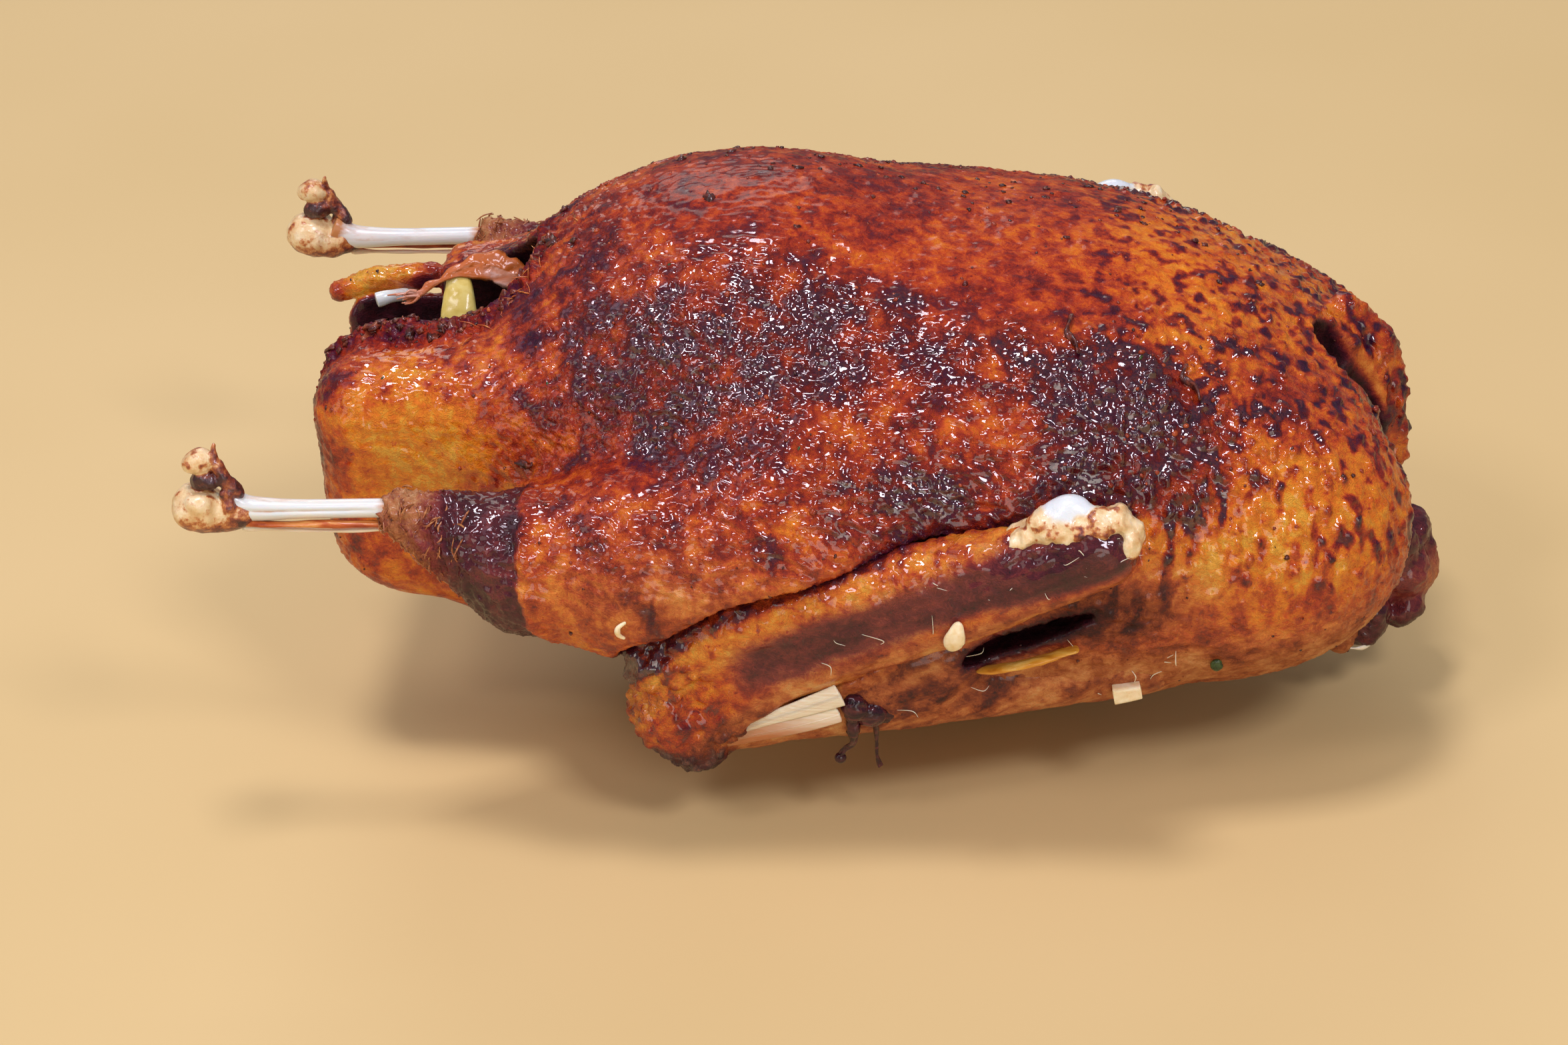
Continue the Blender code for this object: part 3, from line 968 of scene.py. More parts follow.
@dataclass(frozen=True)
class Bone:
    """Bluish-white bone, stained brown towards its ends and in fine lines."""

    name: str = "bone"

    def make(self) -> Material:
        """White with cool clouds; the mark "stain" brings in brown."""
        r = Recipe(self.name, Coat_Weight=0.25, Coat_Roughness=0.15, **FLESHY, Subsurface_Weight=0.15)
        cloud = r.noise(5.0, 3.0, stretch=(4, 1, 1))
        whites = ((0.3, (0.76, 0.74, 0.64)), (0.55, (0.68, 0.73, 0.71)), (0.75, (0.78, 0.78, 0.70)))
        clean = r.ramp(cloud, whites)
        brown = r.noise(2.2, 4.0, 0.65, stretch=(3, 1, 1))
        stain = r.total(r.mark("stain"), r.span(brown, 0.45, 0.75, -0.12, 0.3))
        r.colour(r.mix(r.span(stain, 0.25, 0.85), clean, (0.50, 0.20, 0.055)))
        r.roughness(r.span(stain, 0.1, 0.8, 0.25, 0.5))
        r.relief(r.noise(0.9, 3.0, stretch=(5, 1, 1)), 0.08)
        return r.material


@dataclass(frozen=True)
class Gristle:
    """Cream and tan gristle; the marks bring in white cartilage and red-brown scraps."""

    name: str = "gristle"
    creams: Stops = ((0.3, (0.64, 0.38, 0.15)), (0.5, (0.80, 0.60, 0.31)), (0.66, (0.86, 0.74, 0.48)))
    scraps: Stops = (
        (0.25, (0.66, 0.34, 0.12)),
        (0.45, (0.48, 0.16, 0.04)),
        (0.65, (0.22, 0.040, 0.018)),
        (0.90, (0.045, 0.008, 0.010)),
    )

    def make(self) -> Material:
        """Cream mottled with tan; "scrap" runs through orange to dark purple, "white" to cartilage."""
        r = Recipe(self.name, Coat_Weight=0.4, Coat_Roughness=0.12, **FLESHY, Subsurface_Weight=0.12)
        mottle = r.noise(2.6, 4.0, 0.6)
        tan = r.ramp(mottle, self.creams)
        scrap = r.total(r.mark("scrap"), r.span(r.noise(1.3, 3.0, 0.6), 0.32, 0.68, -0.22, 0.22))
        dark = r.ramp(scrap, self.scraps)
        colour = r.mix(r.mark("white"), tan, (0.72, 0.78, 0.78))
        r.colour(r.mix(r.span(scrap, 0.18, 0.42), colour, dark))
        r.roughness(r.span(scrap, 0.0, 1.0, 0.30, 0.42))
        r.relief(r.times(r.noise(0.9, 3.0), r.span(scrap, 0.0, 1.0, 0.3, 1.0)), 0.35)
        return r.material


@dataclass(frozen=True)
class Streaked:
    """A moist stringy finish: two colours drawn out along X with a third between."""

    name: str
    colours: tuple[Colour, Colour, Colour]
    size: float = 1.2
    stretch: float = 5.0
    roughness: float = 0.35
    depth: float = 0.25
    translucent: float = 0.0
    stained: Colour = (0.42, 0.15, 0.05)

    def make(self) -> Material:
        """Colour and relief both follow noise stretched along X; "stain" brings in brown."""
        moist = {"Specular_IOR_Level": 0.2, "Coat_Weight": 0.5, "Coat_Roughness": 0.12}
        r = Recipe(self.name, **moist, **FLESHY, Subsurface_Weight=self.translucent)
        fibre = r.noise(self.size, 4.0, 0.6, stretch=(self.stretch, 1, 1), twist=0.4)
        streaks = r.ramp(fibre, tuple(zip((0.32, 0.5, 0.68), self.colours)))
        r.colour(r.mix(r.mark("stain"), streaks, self.stained))
        r.roughness(r.span(fibre, 0.3, 0.7, self.roughness - 0.08, self.roughness + 0.12))
        r.relief(fibre, self.depth)
        return r.material


@dataclass(frozen=True)
class TableTop:
    """The plain pale floor."""

    name: str = "floor"

    def make(self) -> Material:
        """Warm cream with the faintest clouds."""
        r = Recipe(self.name)
        cloud = r.noise(180.0, 2.0)
        r.colour(r.ramp(cloud, ((0.3, (0.665, 0.487, 0.207)), (0.7, (0.702, 0.520, 0.234)))))
        r.roughness(0.6)
        return r.material


# ---------------------------------------------------------------- the body


def folded(p: Array) -> Array:
    """The points with both sides brought to the near side."""
    return np.stack([p[:, 0], -np.abs(p[:, 1]), p[:, 2]], 1)


def turned(p: Array, degrees: float) -> Array:
    """The points turned about Y, so that stretched noise runs along a slope."""
    turn = np.radians(degrees)
    c, s = np.cos(turn), np.sin(turn)
    x, y, z = p.T
    return np.stack([c * x + s * z, y, c * z - s * x], 1).astype(np.float32)


@dataclass
class Carcass:
    """Breast, back, rump and legs under one unbroken skin, open at the tail and the neck.

    The sections meet at the cuts along X. The scorched patches say where the skin blisters black,
    and the shades make a place lighter or darker.
    """

    cell: float = 0.52
    quick_cell: float = 1.1
    margin: float = 6.0
    cuts: tuple[float, ...] = (-70.0, -38.0, -4.0, 30.0, 63.0)
    labels: tuple[str, ...] = ("tail", "rump", "thighs", "belly", "breast", "neck")
    trunk: tuple[Ball | Block, ...] = (
        Ball((0, 0, 34), (78, 34, 34)),
        Ball((-24, 0, 68), (56, 50, 47)),
        Ball((24, -24, 57), (76, 38, 43), 5.0),
        Ball((74, -26, 50), (36, 27, 31)),
        Block((-76, 0, 60), (33, 36, 27), 12.0, -2.0),
        Ball((-60, 0, 42), (40, 36, 28)),
    )
    leg: tuple[Limb, ...] = (
        Limb((-40, -54, 57), (-12, -48, 54), 20.0, 25.0),
        Limb((-62, -57, 58), (-40, -54, 57), 14.5, 20.0),
        Limb((-86, -59, 69.6), (-62, -57, 58), 5.0, 14.5),
    )
    vent: Ball = Ball((-84, 0, 78), (45, 16, 22), -3.0)
    neck_slit: Block = Block((107, -3.4, 64), (11, 7.0, 14), 6.0, 12.0)
    neck_hole: Ball = Ball((95.2, -5.6, 76.5), (8.5, 6.0, 9.5), 30.0)
    fatty_roll: Chain = Chain(((-111.5, 17, 80.2), (-104, 17.5, 82.8), (-92, 18, 83.4)), (2.2, 2.7, 2.6))
    near_rim: Chain = Chain(
        (
            (-105.5, -14.5, 80.8), (-98, -15, 85.0), (-93, -15.4, 87.2),
            (-85, -16, 87.0), (-78, -15.6, 87.8), (-70, -13.5, 90.6),
        ),
        (3.2, 2.9, 2.8, 2.5, 2.3, 1.8),
    )
    collar: Chain = Chain(
        ((102, -13, 58), (105.4, -7.5, 47), (105.2, -6.6, 36), (96.6, -13, 15.6)), (4.0, 3.0, 3.0, 2.8)
    )
    lip: Chain = Chain(((97, 9, 81), (104, 10, 73), (106.5, 9.5, 62), (107, 8.5, 48)), (3.0, 3.6, 3.4, 3.0))
    scorched: tuple[Patch, ...] = (
        Patch((-43, -33, 100), (9, 8, 8), 0.6),
        Patch((-32, -39, 97), (14, 11, 8), 1.0),
        Patch((-28, -51, 86), (14, 8, 9), 0.9),
        Patch((-40, -48, 84), (8, 6, 6), 0.4),
        Patch((-12, -36, 102), (13, 8, 7), 0.9),
        Patch((4, -33, 103), (13, 6, 6), 0.55),
        Patch((-8, -44, 95), (14, 8, 8), 0.6),
        Patch((30, -42, 96), (11, 8, 7), 0.6),
        Patch((43, -43, 93), (11, 9, 8), 0.7),
        Patch((55, -39, 92), (13, 10, 8), 1.0),
        Patch((63, -47, 82), (12, 9, 10), 1.0),
        Patch((54, -53, 78), (13, 8, 9), 1.0),
        Patch((66, -51, 72), (9, 8, 8), 0.75),
        Patch((45, -51, 84), (11, 8, 8), 0.8),
        Patch((75, -42, 80), (13, 12, 13), 0.42),
        Patch((20, -30, 104), (20, 6, 5), 0.45),
        Patch((53, -27, 100), (12, 6, 5), 0.45),
        Patch((102, -14, 58), (7, 8, 8), 0.85),
        Patch((4, -61, 77), (13, 6, 6), 0.8),
        Patch((20, -59, 76), (14, 6, 6), 0.8),
        Patch((-2, -53, 86), (10, 7, 7), 0.35),
        Patch((-58, -26, 97), (10, 9, 7), 0.4),
        Patch((-52, -41, 86), (9, 7, 7), 0.55),
    )
    shades: tuple[Patch, ...] = (
        Patch((-88, -35, 69), (12, 14, 24), -0.44),
        Patch((-86, -38, 66), (7, 14, 16), -0.16),
        Patch((-112, -30, 66), (5, 16, 18), 0.26),
        Patch((-58, -38, 88), (14, 12, 9), -0.06),
        Patch((63, -57, 49), (12, 12, 10), -0.16),
        Patch((74, -55, 55), (15, 12, 15), -0.30),
        Patch((88, -44, 58), (13, 12, 16), -0.20),
        Patch((101, -22, 76), (17, 24, 20), 0.17),
        Patch((-9, -69, 72), (5, 4, 4), -0.28),
        Patch((-34, -72, 60), (22, 8, 9), -0.10),
        Patch((-57, -68, 60), (9, 14, 14), -0.14),
        Patch((75.2, -54.6, 55.0), (3.6, 5, 2.6), 0.42),
        Patch((80.7, -53.5, 51.2), (3.4, 5, 3.4), 0.42),
        Patch((102, -14, 57), (7, 8, 9), 0.34),
        Patch((84, -32, 80), (15, 16, 10), 0.05),
        Patch((-106, -34, 66), (7, 14, 12), 0.10),
    )

    def torso(self, p: Array) -> Array:
        """Breast, back and rump: lumps blended over 8 to 20 mm and cut off below the tail."""
        x, _, z = p.T
        m = folded(p)
        middle = Ball((6, 0, 58), (100, 56, 49), -1.0).distance(m)
        d = melted(middle, self.trunk, (20.0, 18.0, 14.0, 12.0, 18.0, 8.0), m)
        return carved(d, 0.555 * (x + 105.0) + 0.832 * (z - 41.4), 8.0)

    def legs(self, p: Array) -> Array:
        """Thighs and drumsticks; the far leg is held 2 mm higher."""
        m = folded(p) - np.where(p[:, 1:2] > 0.0, np.array([[-0.5, 0.0, 2.0]], np.float32), 0.0)
        thigh = Ball((-13, -46, 54), (37, 27, 33), -20.0).distance(m)
        return melted(thigh, self.leg, (8.0, 4.0, 4.0), m)

    def flaps(self, p: Array) -> Array:
        """The collar of skin round the neck and the lip beyond the slit."""
        return np.minimum(self.collar.distance(p), self.lip.distance(p))

    def distance(self, p: Array) -> Array:
        """The whole body's field, with room for the folded wings."""
        wing, m = Wing(Side.NEAR), folded(p)
        x, y, z = p.T
        d = blended(self.torso(p), self.legs(p), 10.0)
        d = blended(d, self.flaps(p), 5.0)
        d = blended(d, wing.root(m) + 1.2, 7.0)
        before = np.stack([x, np.maximum(m[:, 1], -61.0), z], 1)
        d = carved(d, wing.forearm(before) - 0.6, 3.5)
        d = carved(d, wing.pocket.distance(m), 2.5)
        shoulder = np.maximum(-0.857 * (z - 79.5 + 0.6 * (y - 17.0)), x + 90.0)
        d = carved(d, np.maximum(shoulder, 12.0 - y), 6.0)
        d = blended(d, self.fatty_roll.distance(p), 1.5)
        d = carved(d, self.vent.distance(p), 3.0)
        d = blended(d, self.near_rim.distance(p), 3.5)
        d = carved(d, self.neck_slit.distance(p), 3.0)
        d = carved(d, self.neck_hole.distance(p), 2.5)
        return carved(d, z, 3.0)

    def mark(self, shape: Shape) -> None:
        """Works out each point's marks and its height above the smooth body."""
        p, normal = shape.places, shape.normals()
        x, y, z = p.T
        m = folded(p) - np.where(p[:, 1:2] > 0.0, np.array([[7.0, 0.0, 0.0]]), 0.0)
        clouds, folds, dots = Grain(11), Grain(23), Grain(37)
        wing = Wing(Side.NEAR)

        warp = np.stack([clouds.smooth(p + k, 9.0) for k in (0.0, 40.0, 80.0)], 1) * 2.0
        cloud = clouds.layered(p + warp, 8.0, 5)
        broad = clouds.layered(p + 13.0, 24.0, 2)
        bias = clipped(sum(patch.strength(m) for patch in self.scorched))
        keel = ease(0.86, 0.96, normal[:, 2]) * ease(-62.0, -40.0, x)
        breast = ease(50.0, 74.0, z) * ease(-76.0, -48.0, x)
        front = ease(28.0, 62.0, x) * ease(40.0, 56.0, z)
        rows = folds.layered(turned(p, 80.0) + 50.0, 3.2, 2, (3.4, 1.0, 1.0))
        streaks = ease(0.02, 0.32, rows)
        char = 0.74 * bias + 0.90 * cloud * (1.0 - 0.35 * front) + 0.25 * broad
        char = char + (0.25 * rows + 0.55 * front * (streaks - 0.5)) * (bias > 0.05)
        char = clipped(char + 0.26 * breast - 0.22 * keel - 0.26)

        strays = np.stack([folds.layered(p + k, 2.2, 2) for k in (0.0, 30.0, 60.0)], 1)
        shaken = p + 0.5 * warp + 0.9 * strays
        gap, owner = dots.cells(shaken * np.array([1.2, 1.0, 0.8]), 2.8)
        knobs = ease(0.62, 0.15, gap)
        ripe = owner - 0.46 + 0.5 * bias + 0.7 * cloud + 0.3 * broad + 0.5 * rows
        spots = ease(0.58, 0.2, gap) * (clipped(2.0 * ripe) * front * (1.0 - 0.5 * keel))

        vent_gap = self.vent.distance(p)
        neck_gap = np.minimum(self.neck_slit.distance(p), self.neck_hole.distance(p))
        # the insides of the tail opening and the neck hollow, both painted dark below as painted shade
        cavity, hollow = ease(1.6, -0.2, vent_gap), ease(1.4, 0.0, neck_gap)
        rim = ease(8.5, 4.0, vent_gap + 2.5 * cloud) * (1.0 - cavity) * ease(64.0, 74.0, z)
        rim = rim * ease(12.0, 6.0, y) * ease(-58.0, -66.0, x)
        on_leg = (self.legs(p) < self.torso(p)).astype(float) * ease(-30.0, -38.0, x)
        edge = -62.5 + 0.22 * np.maximum(60.0 - z, 0.0) + 1.8 * clouds.layered(p, 6.0, 3)
        bare = on_leg * ease(edge + 0.5, edge - 0.5, x)
        lip = on_leg * bell(x - edge, 1.2, 1.3)
        # painted shade, partly real char: the skin in the crease along the forearm's upper edge is darkened
        # nearly to black
        beside = np.maximum(wing.forearm(m), 0.0) + 2.5 * ease(50.0, 36.0, z - 0.45 * x)
        crease_shade_by_wing = bell(beside, 0.0, 2.0) * ease(30.0, 40.0, np.abs(y))
        roll = ease(1.6, 0.3, self.fatty_roll.distance(p))
        collar = ease(9.0, 2.0, self.flaps(p)) * ease(96.0, 102.0, x)

        pulled = folds.ridged(turned(p, 40.0) + 90.0, 2.6, 2, (6.0, 1.0, 1.0))
        low = ease(47.0, 32.0, z + 5.0 * broad)
        # painted shadow: the flank under the forearm is darkened and made dull
        behind = clipped(wing.shade.strength(m))
        # painted shade in the pocket under the forearm
        pit = ease(2.4, 0.2, wing.pocket.distance(m))
        fading = (
            low * ease(-60.0, -20.0, x),
            0.9 * ease(24.0, 12.0, z),
            0.6 * ease(1.0, 0.0, wing.root(m) / 6.0),
            0.55 * Patch((-34, -72, 58), (26, 10, 10), 1.0).strength(m),
            # painted shadow under the forearm makes the skin dull
            0.9 * behind,
        )
        pale = np.max(fading, axis=0)
        thigh = Patch((-36, -72, 59), (19, 12, 10), 1.0).strength(m)
        mottled = folds.layered(p, 3.0, 3, (1.0, 1.0, 3.0))
        done = 0.49 + 0.42 * cloud + 0.20 * broad + sum(shade.strength(m) for shade in self.shades)
        done = done + 0.24 * bias + 0.06 * breast + 0.03 * keel - 0.18 * front * (1.0 - bias)
        done = done - 0.22 * cloud * keel + 0.26 * mottled * ease(-60.0, -80.0, x)
        fibrous = ease(-44.0, -60.0, x) * ease(78.0, 86.0, z) * (1.0 - keel)
        done = done + fibrous * (0.10 + 0.30 * (pulled - 0.5))
        done = done + (0.76 - done) * 0.8 * spots + 0.20 * thigh * ease(0.08, 0.4, rows)
        # the last term darkens the flank under the forearm: painted shadow
        done = done + front * (0.44 * streaks - 0.09 - 0.10 * cloud) + (0.84 + 0.16 * mottled - done) * behind
        done = np.maximum(done, 0.13 + 0.55 * done)
        done = done + (0.76 + 0.14 * cloud - done) * rim
        # painted shade, partly real char, in the crease along the forearm
        done = done + (0.97 - done) * crease_shade_by_wing * 0.9
        fatty = 0.10 + 0.22 * cloud + 0.45 * ease(-107.0, -112.0, x)
        fatty = fatty + 0.45 * ease(-97.0, -92.0, x)
        done = mixed(done, fatty, roll) + 0.06 * collar
        flesh = 0.30 + 0.48 * ease(-85.0, -74.0, x) + 0.30 * cloud
        flesh = flesh - 0.12 * ease(70.0, 76.0, z) * ease(-66.0, -76.0, x)
        # painted shade: the inside of the tail opening is painted near-black as bare meat
        done = mixed(mixed(done, flesh, bare), 0.97 + 0.1 * cloud, cavity)
        # painted shade: the neck hollow is near-black except its lit far wall, which is tan
        lit = ease(-2.0, 4.0, z - 72.0 + 1.75 * (x - 98.0)) * ease(-2.0, 2.0, y)
        done = mixed(done, 0.95 - 0.68 * lit + 0.12 * mottled, hollow)
        # painted shade: the pocket's skin near-black
        done = done + (0.95 - done) * pit

        wet = clipped(0.97 - 0.70 * pale - 0.55 * bare * ease(-73.0, -80.0, x))
        for place, loss in ((rim, 0.85), (cavity, 0.4), (hollow, 0.8), (keel, 0.50)):
            wet = wet * (1.0 - loss * place)
        plain = (1.0 - bare) * (1.0 - cavity) * (1.0 - hollow) * (1.0 - roll)
        shape.marks = {
            "done": clipped(done),
            "pale": clipped(pale * (1.0 - 0.6 * char) + 0.35 * hollow * lit),
            # meat also carries painted shade in the tail opening, the neck hollow and the pocket
            "meat": clipped(bare + cavity + hollow * (1.0 - lit) + pit),
            "wet": wet,
            "char": clipped(char + 0.35 * spots) * plain,
        }

        lined = folds.ridged(turned(p + 0.5 * warp, -20.0), 2.3, 3, (3.2, 1.0, 1.0))
        crinkled = folds.ridged(p + 1.2 * warp, 2.0, 2)
        taut = 0.70 * keel + 0.55 * low + 0.45 * ease(-58.0, -70.0, x) * (1.0 - keel)
        taut = taut + 0.6 * Patch((-36, -72, 55), (24, 9, 8), 1.0).strength(m)
        calm = 1.15 - np.clip(taut, 0.0, 0.95)
        wrinkled = 0.60 * (lined - 0.5) + 0.55 * (crinkled - 0.5) * (0.5 + 0.6 * bias)
        rings = folds.ridged(p + 0.6 * warp, 2.0, 3, (1.0, 2.0, 2.4))
        torn = 0.9 * rings * ease(-68.0, -80.0, x) + 0.35 * rings + 0.5 * clouds.layered(p, 2.4, 3)
        height = (
            0.50 * clouds.layered(p + 70.0, 15.0, 2)
            + 0.36 * clouds.layered(p + 5.0, 5.0, 3) * (0.4 + 0.6 * calm)
            + calm * (1.0 - 0.6 * front) * wrinkled
            + calm * knobs * (0.30 * bias + 0.55 * front)
            - 0.16 * front
            + 0.20 * spots
            + collar * (0.5 * clouds.layered(p, 4.0, 3) + 0.35 * (pulled - 0.5))
            + rim * (1.7 * clouds.layered(p, 2.2, 4) + 0.4 * knobs)
            + 0.35 * (pulled - 0.5) * ease(-50.0, -62.0, x) * ease(76.0, 86.0, z)
            - 0.8 * bare
            + 0.5 * lip * (cloud > -0.2)
            + bare * torn
        )
        height = height * (1.0 - 0.7 * np.maximum(cavity, hollow))
        shape.raised(height)
        shape.points[:, 2] = np.maximum(shape.points[:, 2], 0.0)

    def build(self, finish: Material) -> Shape:
        """Nets the body, marks it and serves it in sections that meet unseen."""
        low, high = (np.array(corner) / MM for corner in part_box("carcass"))
        cell = self.cell
        shape = SurfaceNet(self.distance, low - self.margin, high + self.margin, cell).wrap()
        layers, cuts = (
            np.floor((x - low[0] + self.margin) / cell) for x in (shape.points[:, 0], np.array(self.cuts))
        )
        self.mark(relaxed(shape, 2))
        for label, (section, normals) in zip(self.labels, sectioned(shape, layers, cuts)):
            serve("carcass_" + label, section, finish, Slot.SKIN, "carcass", normals=normals)
        return shape


# ---------------------------------------------------------------- the wings


@dataclass
class Wing:
    """A folded wing: the forearm up the flank, the upper arm under it and the bare wrist."""

    side: Side
    middle: Chain = Chain(
        ((-34, -60, 27), (-17, -63, 41.5), (3, -64.5, 50.5), (24, -66, 58), (50, -67, 67.5)), (8.0,) * 5
    )
    upper_ridge: Chain = Chain(
        (
            (-33, -61.5, 40), (-19.5, -64, 49.5), (2.3, -65.0, 56.2),
            (14, -65.5, 59.8), (34, -66, 65.6), (48, -67, 69.5),
        ),
        (7.8, 7.6, 7.2, 6.8, 5.7, 4.6),
    )
    lower_ridge: Chain = Chain(
        (
            (-30, -60.5, 25), (-14, -63, 36.8), (3.3, -64.5, 45),
            (24, -66, 52.5), (43, -67, 61.5), (52, -67, 65.5),
        ),
        (8.0, 6.2, 6.0, 5.5, 5.0, 4.4),
    )
    elbow: tuple[Ball, ...] = (
        Ball((-35, -60, 27), (8.6, 10, 9.0), 30.0),
        Ball((-36.5, -61, 38.0), (7.4, 8, 9.4), -20.0),
        Ball((-31, -62, 19.5), (5.6, 6.5, 5.0), 20.0),
    )
    upper_arm: Chain = Chain(
        ((-31, -56.5, 20.5), (-10, -56.5, 25), (14, -53, 29), (56, -41, 32)), (6.0, 6.4, 8.8, 11.0)
    )
    web: Ball = Ball((5, -57.5, 34), (24, 7.5, 10.5), -16.0)
    pocket: Ball = Ball((35.0, -59, 43.2), (14.0, 8.0, 2.2), -21.0)
    # painted shadow: the patch under the forearm where the flank and the wing's root are darkened
    shade: Patch = Patch((50, -60, 48.0), (17, 14, 8.5), 1.35)
    cream: tuple[Ball, ...] = (
        Ball((35.6, -66.5, 70.2), (5.6, 4.0, 2.4), -24.0),
        Ball((39.2, -67.2, 73.0), (2.8, 3.6, 3.0)),
        Ball((43.5, -67.5, 72.0), (6.0, 4.0, 3.4)),
        Ball((49.4, -67.5, 73.0), (3.4, 4.2, 3.6)),
        Ball((53.4, -66.5, 73.6), (2.4, 3.4, 3.4)),
        Ball((55.4, -67.0, 69.4), (2.6, 4.2, 4.4), 20.0),
        Ball((50.0, -66.0, 68.0), (5.0, 4.4, 3.4)),
    )
    knob: Ball = Ball((43.8, -66.2, 74.9), (4.6, 3.4, 3.7), -14.0)
    clot: tuple[Ball, ...] = (
        Ball((1.4, -65.0, 30.2), (2.6, 2.2, 3.2)),
        Ball((4.4, -63.8, 28.2), (3.2, 2.4, 2.8)),
        Ball((0.8, -64.0, 25.6), (1.5, 1.6, 3.0)),
        Ball((7.0, -62.4, 27.4), (2.2, 1.6, 2.0)),
    )
    hanging: tuple[Chain, ...] = (
        Chain(
            ((0.6, -63.6, 24.0), (0.4, -62.4, 20.6), (-1.2, -61.4, 18.4), (-2.2, -61.0, 16.6)),
            (1.2, 0.7, 0.5, 0.7),
        ),
        Chain(
            ((5.2, -63.0, 26.4), (5.0, -61.2, 20.0), (5.0, -60.6, 16.4), (5.4, -60.2, 13.6)),
            (0.8, 0.32, 0.30, 0.65),
        ),
    )

    def forearm(self, p: Array) -> Array:
        """Two ridges with a flat face between them, joined at the elbow."""
        d = blended(self.upper_ridge.distance(p), self.lower_ridge.distance(p), 5.0)
        return melted(blended(d, self.middle.distance(p) + 1.3, 4.0), self.elbow, 4.0, p)

    def root(self, p: Array) -> Array:
        """The upper arm and the web of skin that ties it to the forearm."""
        return blended(self.upper_arm.distance(p), self.web.distance(p), 5.0)

    def distance(self, p: Array) -> Array:
        """The whole wing's field on the near side."""
        return carved(blended(self.forearm(p), self.root(p), 4.0), self.pocket.distance(p), 2.0)

    def mark(self, shape: Shape) -> None:
        """Works out each point's marks and its height above the smooth wing."""
        p, normal = shape.places, shape.normals()
        x, _, z = p.T
        grain = Grain(51)
        s, _, rise = self.middle.locate(p)
        cloud, coarse = grain.layered(p, 5.0, 4), grain.layered(p + 9.0, 13.0, 2)
        gnarl = grain.layered(p + 3.0, 3.2, 3)
        along = turned(p, 26.0)
        fibre = grain.layered(along, 1.9, 3, (9.0, 1.0, 1.0))
        cords = grain.ridged(along + 20.0, 3.0, 2, (7.0, 1.0, 1.0))
        outer = ease(0.0, 0.5, -normal[:, 1])
        fore = ease(2.5, -0.5, self.forearm(p) - self.root(p))
        stray = (rise - 0.2 - 1.6 * coarse - 2.0 * ease(0.5, 0.8, s)) / 6.0
        band = np.exp(-(stray**4)) * ease(0.16, 0.30, s + 0.04 * coarse) * outer * fore
        end = ease(0.72, 0.9, s) * ease(4.5, 2.0, rise + cloud) * ease(-6.0, -3.0, rise)
        band = np.maximum(band, end * outer)
        streak = bell(rise + 4.2 + 0.8 * cloud, 0.0, 1.3) * ease(0.34, 0.44, s)
        streak = streak * ease(0.95, 0.8, s)
        below = ease(-3.5, -6.5, rise + 0.8 * coarse) * fore
        above = ease(3.0, 5.5, rise + coarse) * fore
        knobbly = ease(0.22, 0.10, s) * fore
        tip = ease(24.0, 17.0, z + 2.0 * coarse) * ease(-22.0, -28.0, x)
        bony = (1.0 - fore) * ease(4.0, -3.0, x)
        tan_edge = below * ease(-6.5, -8.5, rise) * ease(0.5, 0.62, s)

        pits = ease(0.62, 0.2, grain.cells(p + 2.0 * cloud[:, None], 2.6)[0])
        # painted shade, partly real char, where the forearm's upper edge tucks into the flank
        crease_char_and_shade = ease(10.6, 12.2, rise + coarse) * fore * ease(0.95, 0.8, s)
        webbed = (1.0 - fore) * ease(-2.0, 6.0, x) * ease(44.0, 26.0, x)
        webbed = webbed * ease(24.0, 31.0, z)
        top = -0.20 + 0.06 * ease(0.35, 0.6, s) + 0.26 * pits * (cloud > 0.05)
        # the crease term darkens that edge: painted shade, partly real char
        done = 0.40 + 0.34 * cloud + 0.14 * coarse + above * top + 0.50 * crease_char_and_shade
        # painted shadow: the wing's root under the forearm is darkened
        done = done + 0.20 * webbed + (0.84 - done) * clipped(self.shade.strength(p) * (1.0 - fore))
        done = done + below * (0.08 - 0.26 * bell(s, 0.33, 0.12) + 0.16 * fibre) - 0.20 * tan_edge
        done = done + knobbly * (0.04 + 0.18 * pits) + 0.42 * tip + (1.0 - fore) * (0.08 + 0.36 * fibre)
        done = done - 0.16 * bony
        flesh = 0.66 + 0.24 * fibre + 0.12 * coarse + 0.10 * ease(0.55, 0.95, s) - 0.32 * streak
        # painted shade: the pocket under the forearm is painted near-black as bare meat
        hole = ease(1.6, 0.2, self.pocket.distance(p))
        pale = clipped(0.10 * above + 0.70 * below + 0.85 * (1.0 - fore) - 0.4 * tip)
        # the crease adds to char: partly real char, partly painted shade
        char = clipped(0.22 * knobbly + 0.05 * above + 0.6 * tip + 0.5 * crease_char_and_shade)
        shape.marks = {
            # hole paints the pocket near-black: painted shade
            "done": clipped(mixed(mixed(done, flesh, band), 0.95, hole)),
            "pale": pale * (1.0 - band) * (1.0 - hole),
            "meat": clipped(1.3 * band + 0.5 * tip + hole),
            "wet": clipped(0.92 - 0.35 * below - 0.40 * (1.0 - fore)),
            "char": char * (1.0 - band),
        }
        height = (
            0.45 * cloud
            + 0.30 * gnarl * (0.35 + 1.3 * above + 2.2 * knobbly)
            + 0.35 * band * (cords - 0.5)
            + (above + 1.4 * knobbly) * (0.45 * pits - 0.1)
            + (below + 1.0 - fore) * (0.32 * (cords - 0.5) + 0.16 * fibre)
            - 0.45 * band
        )
        shape.raised(height)

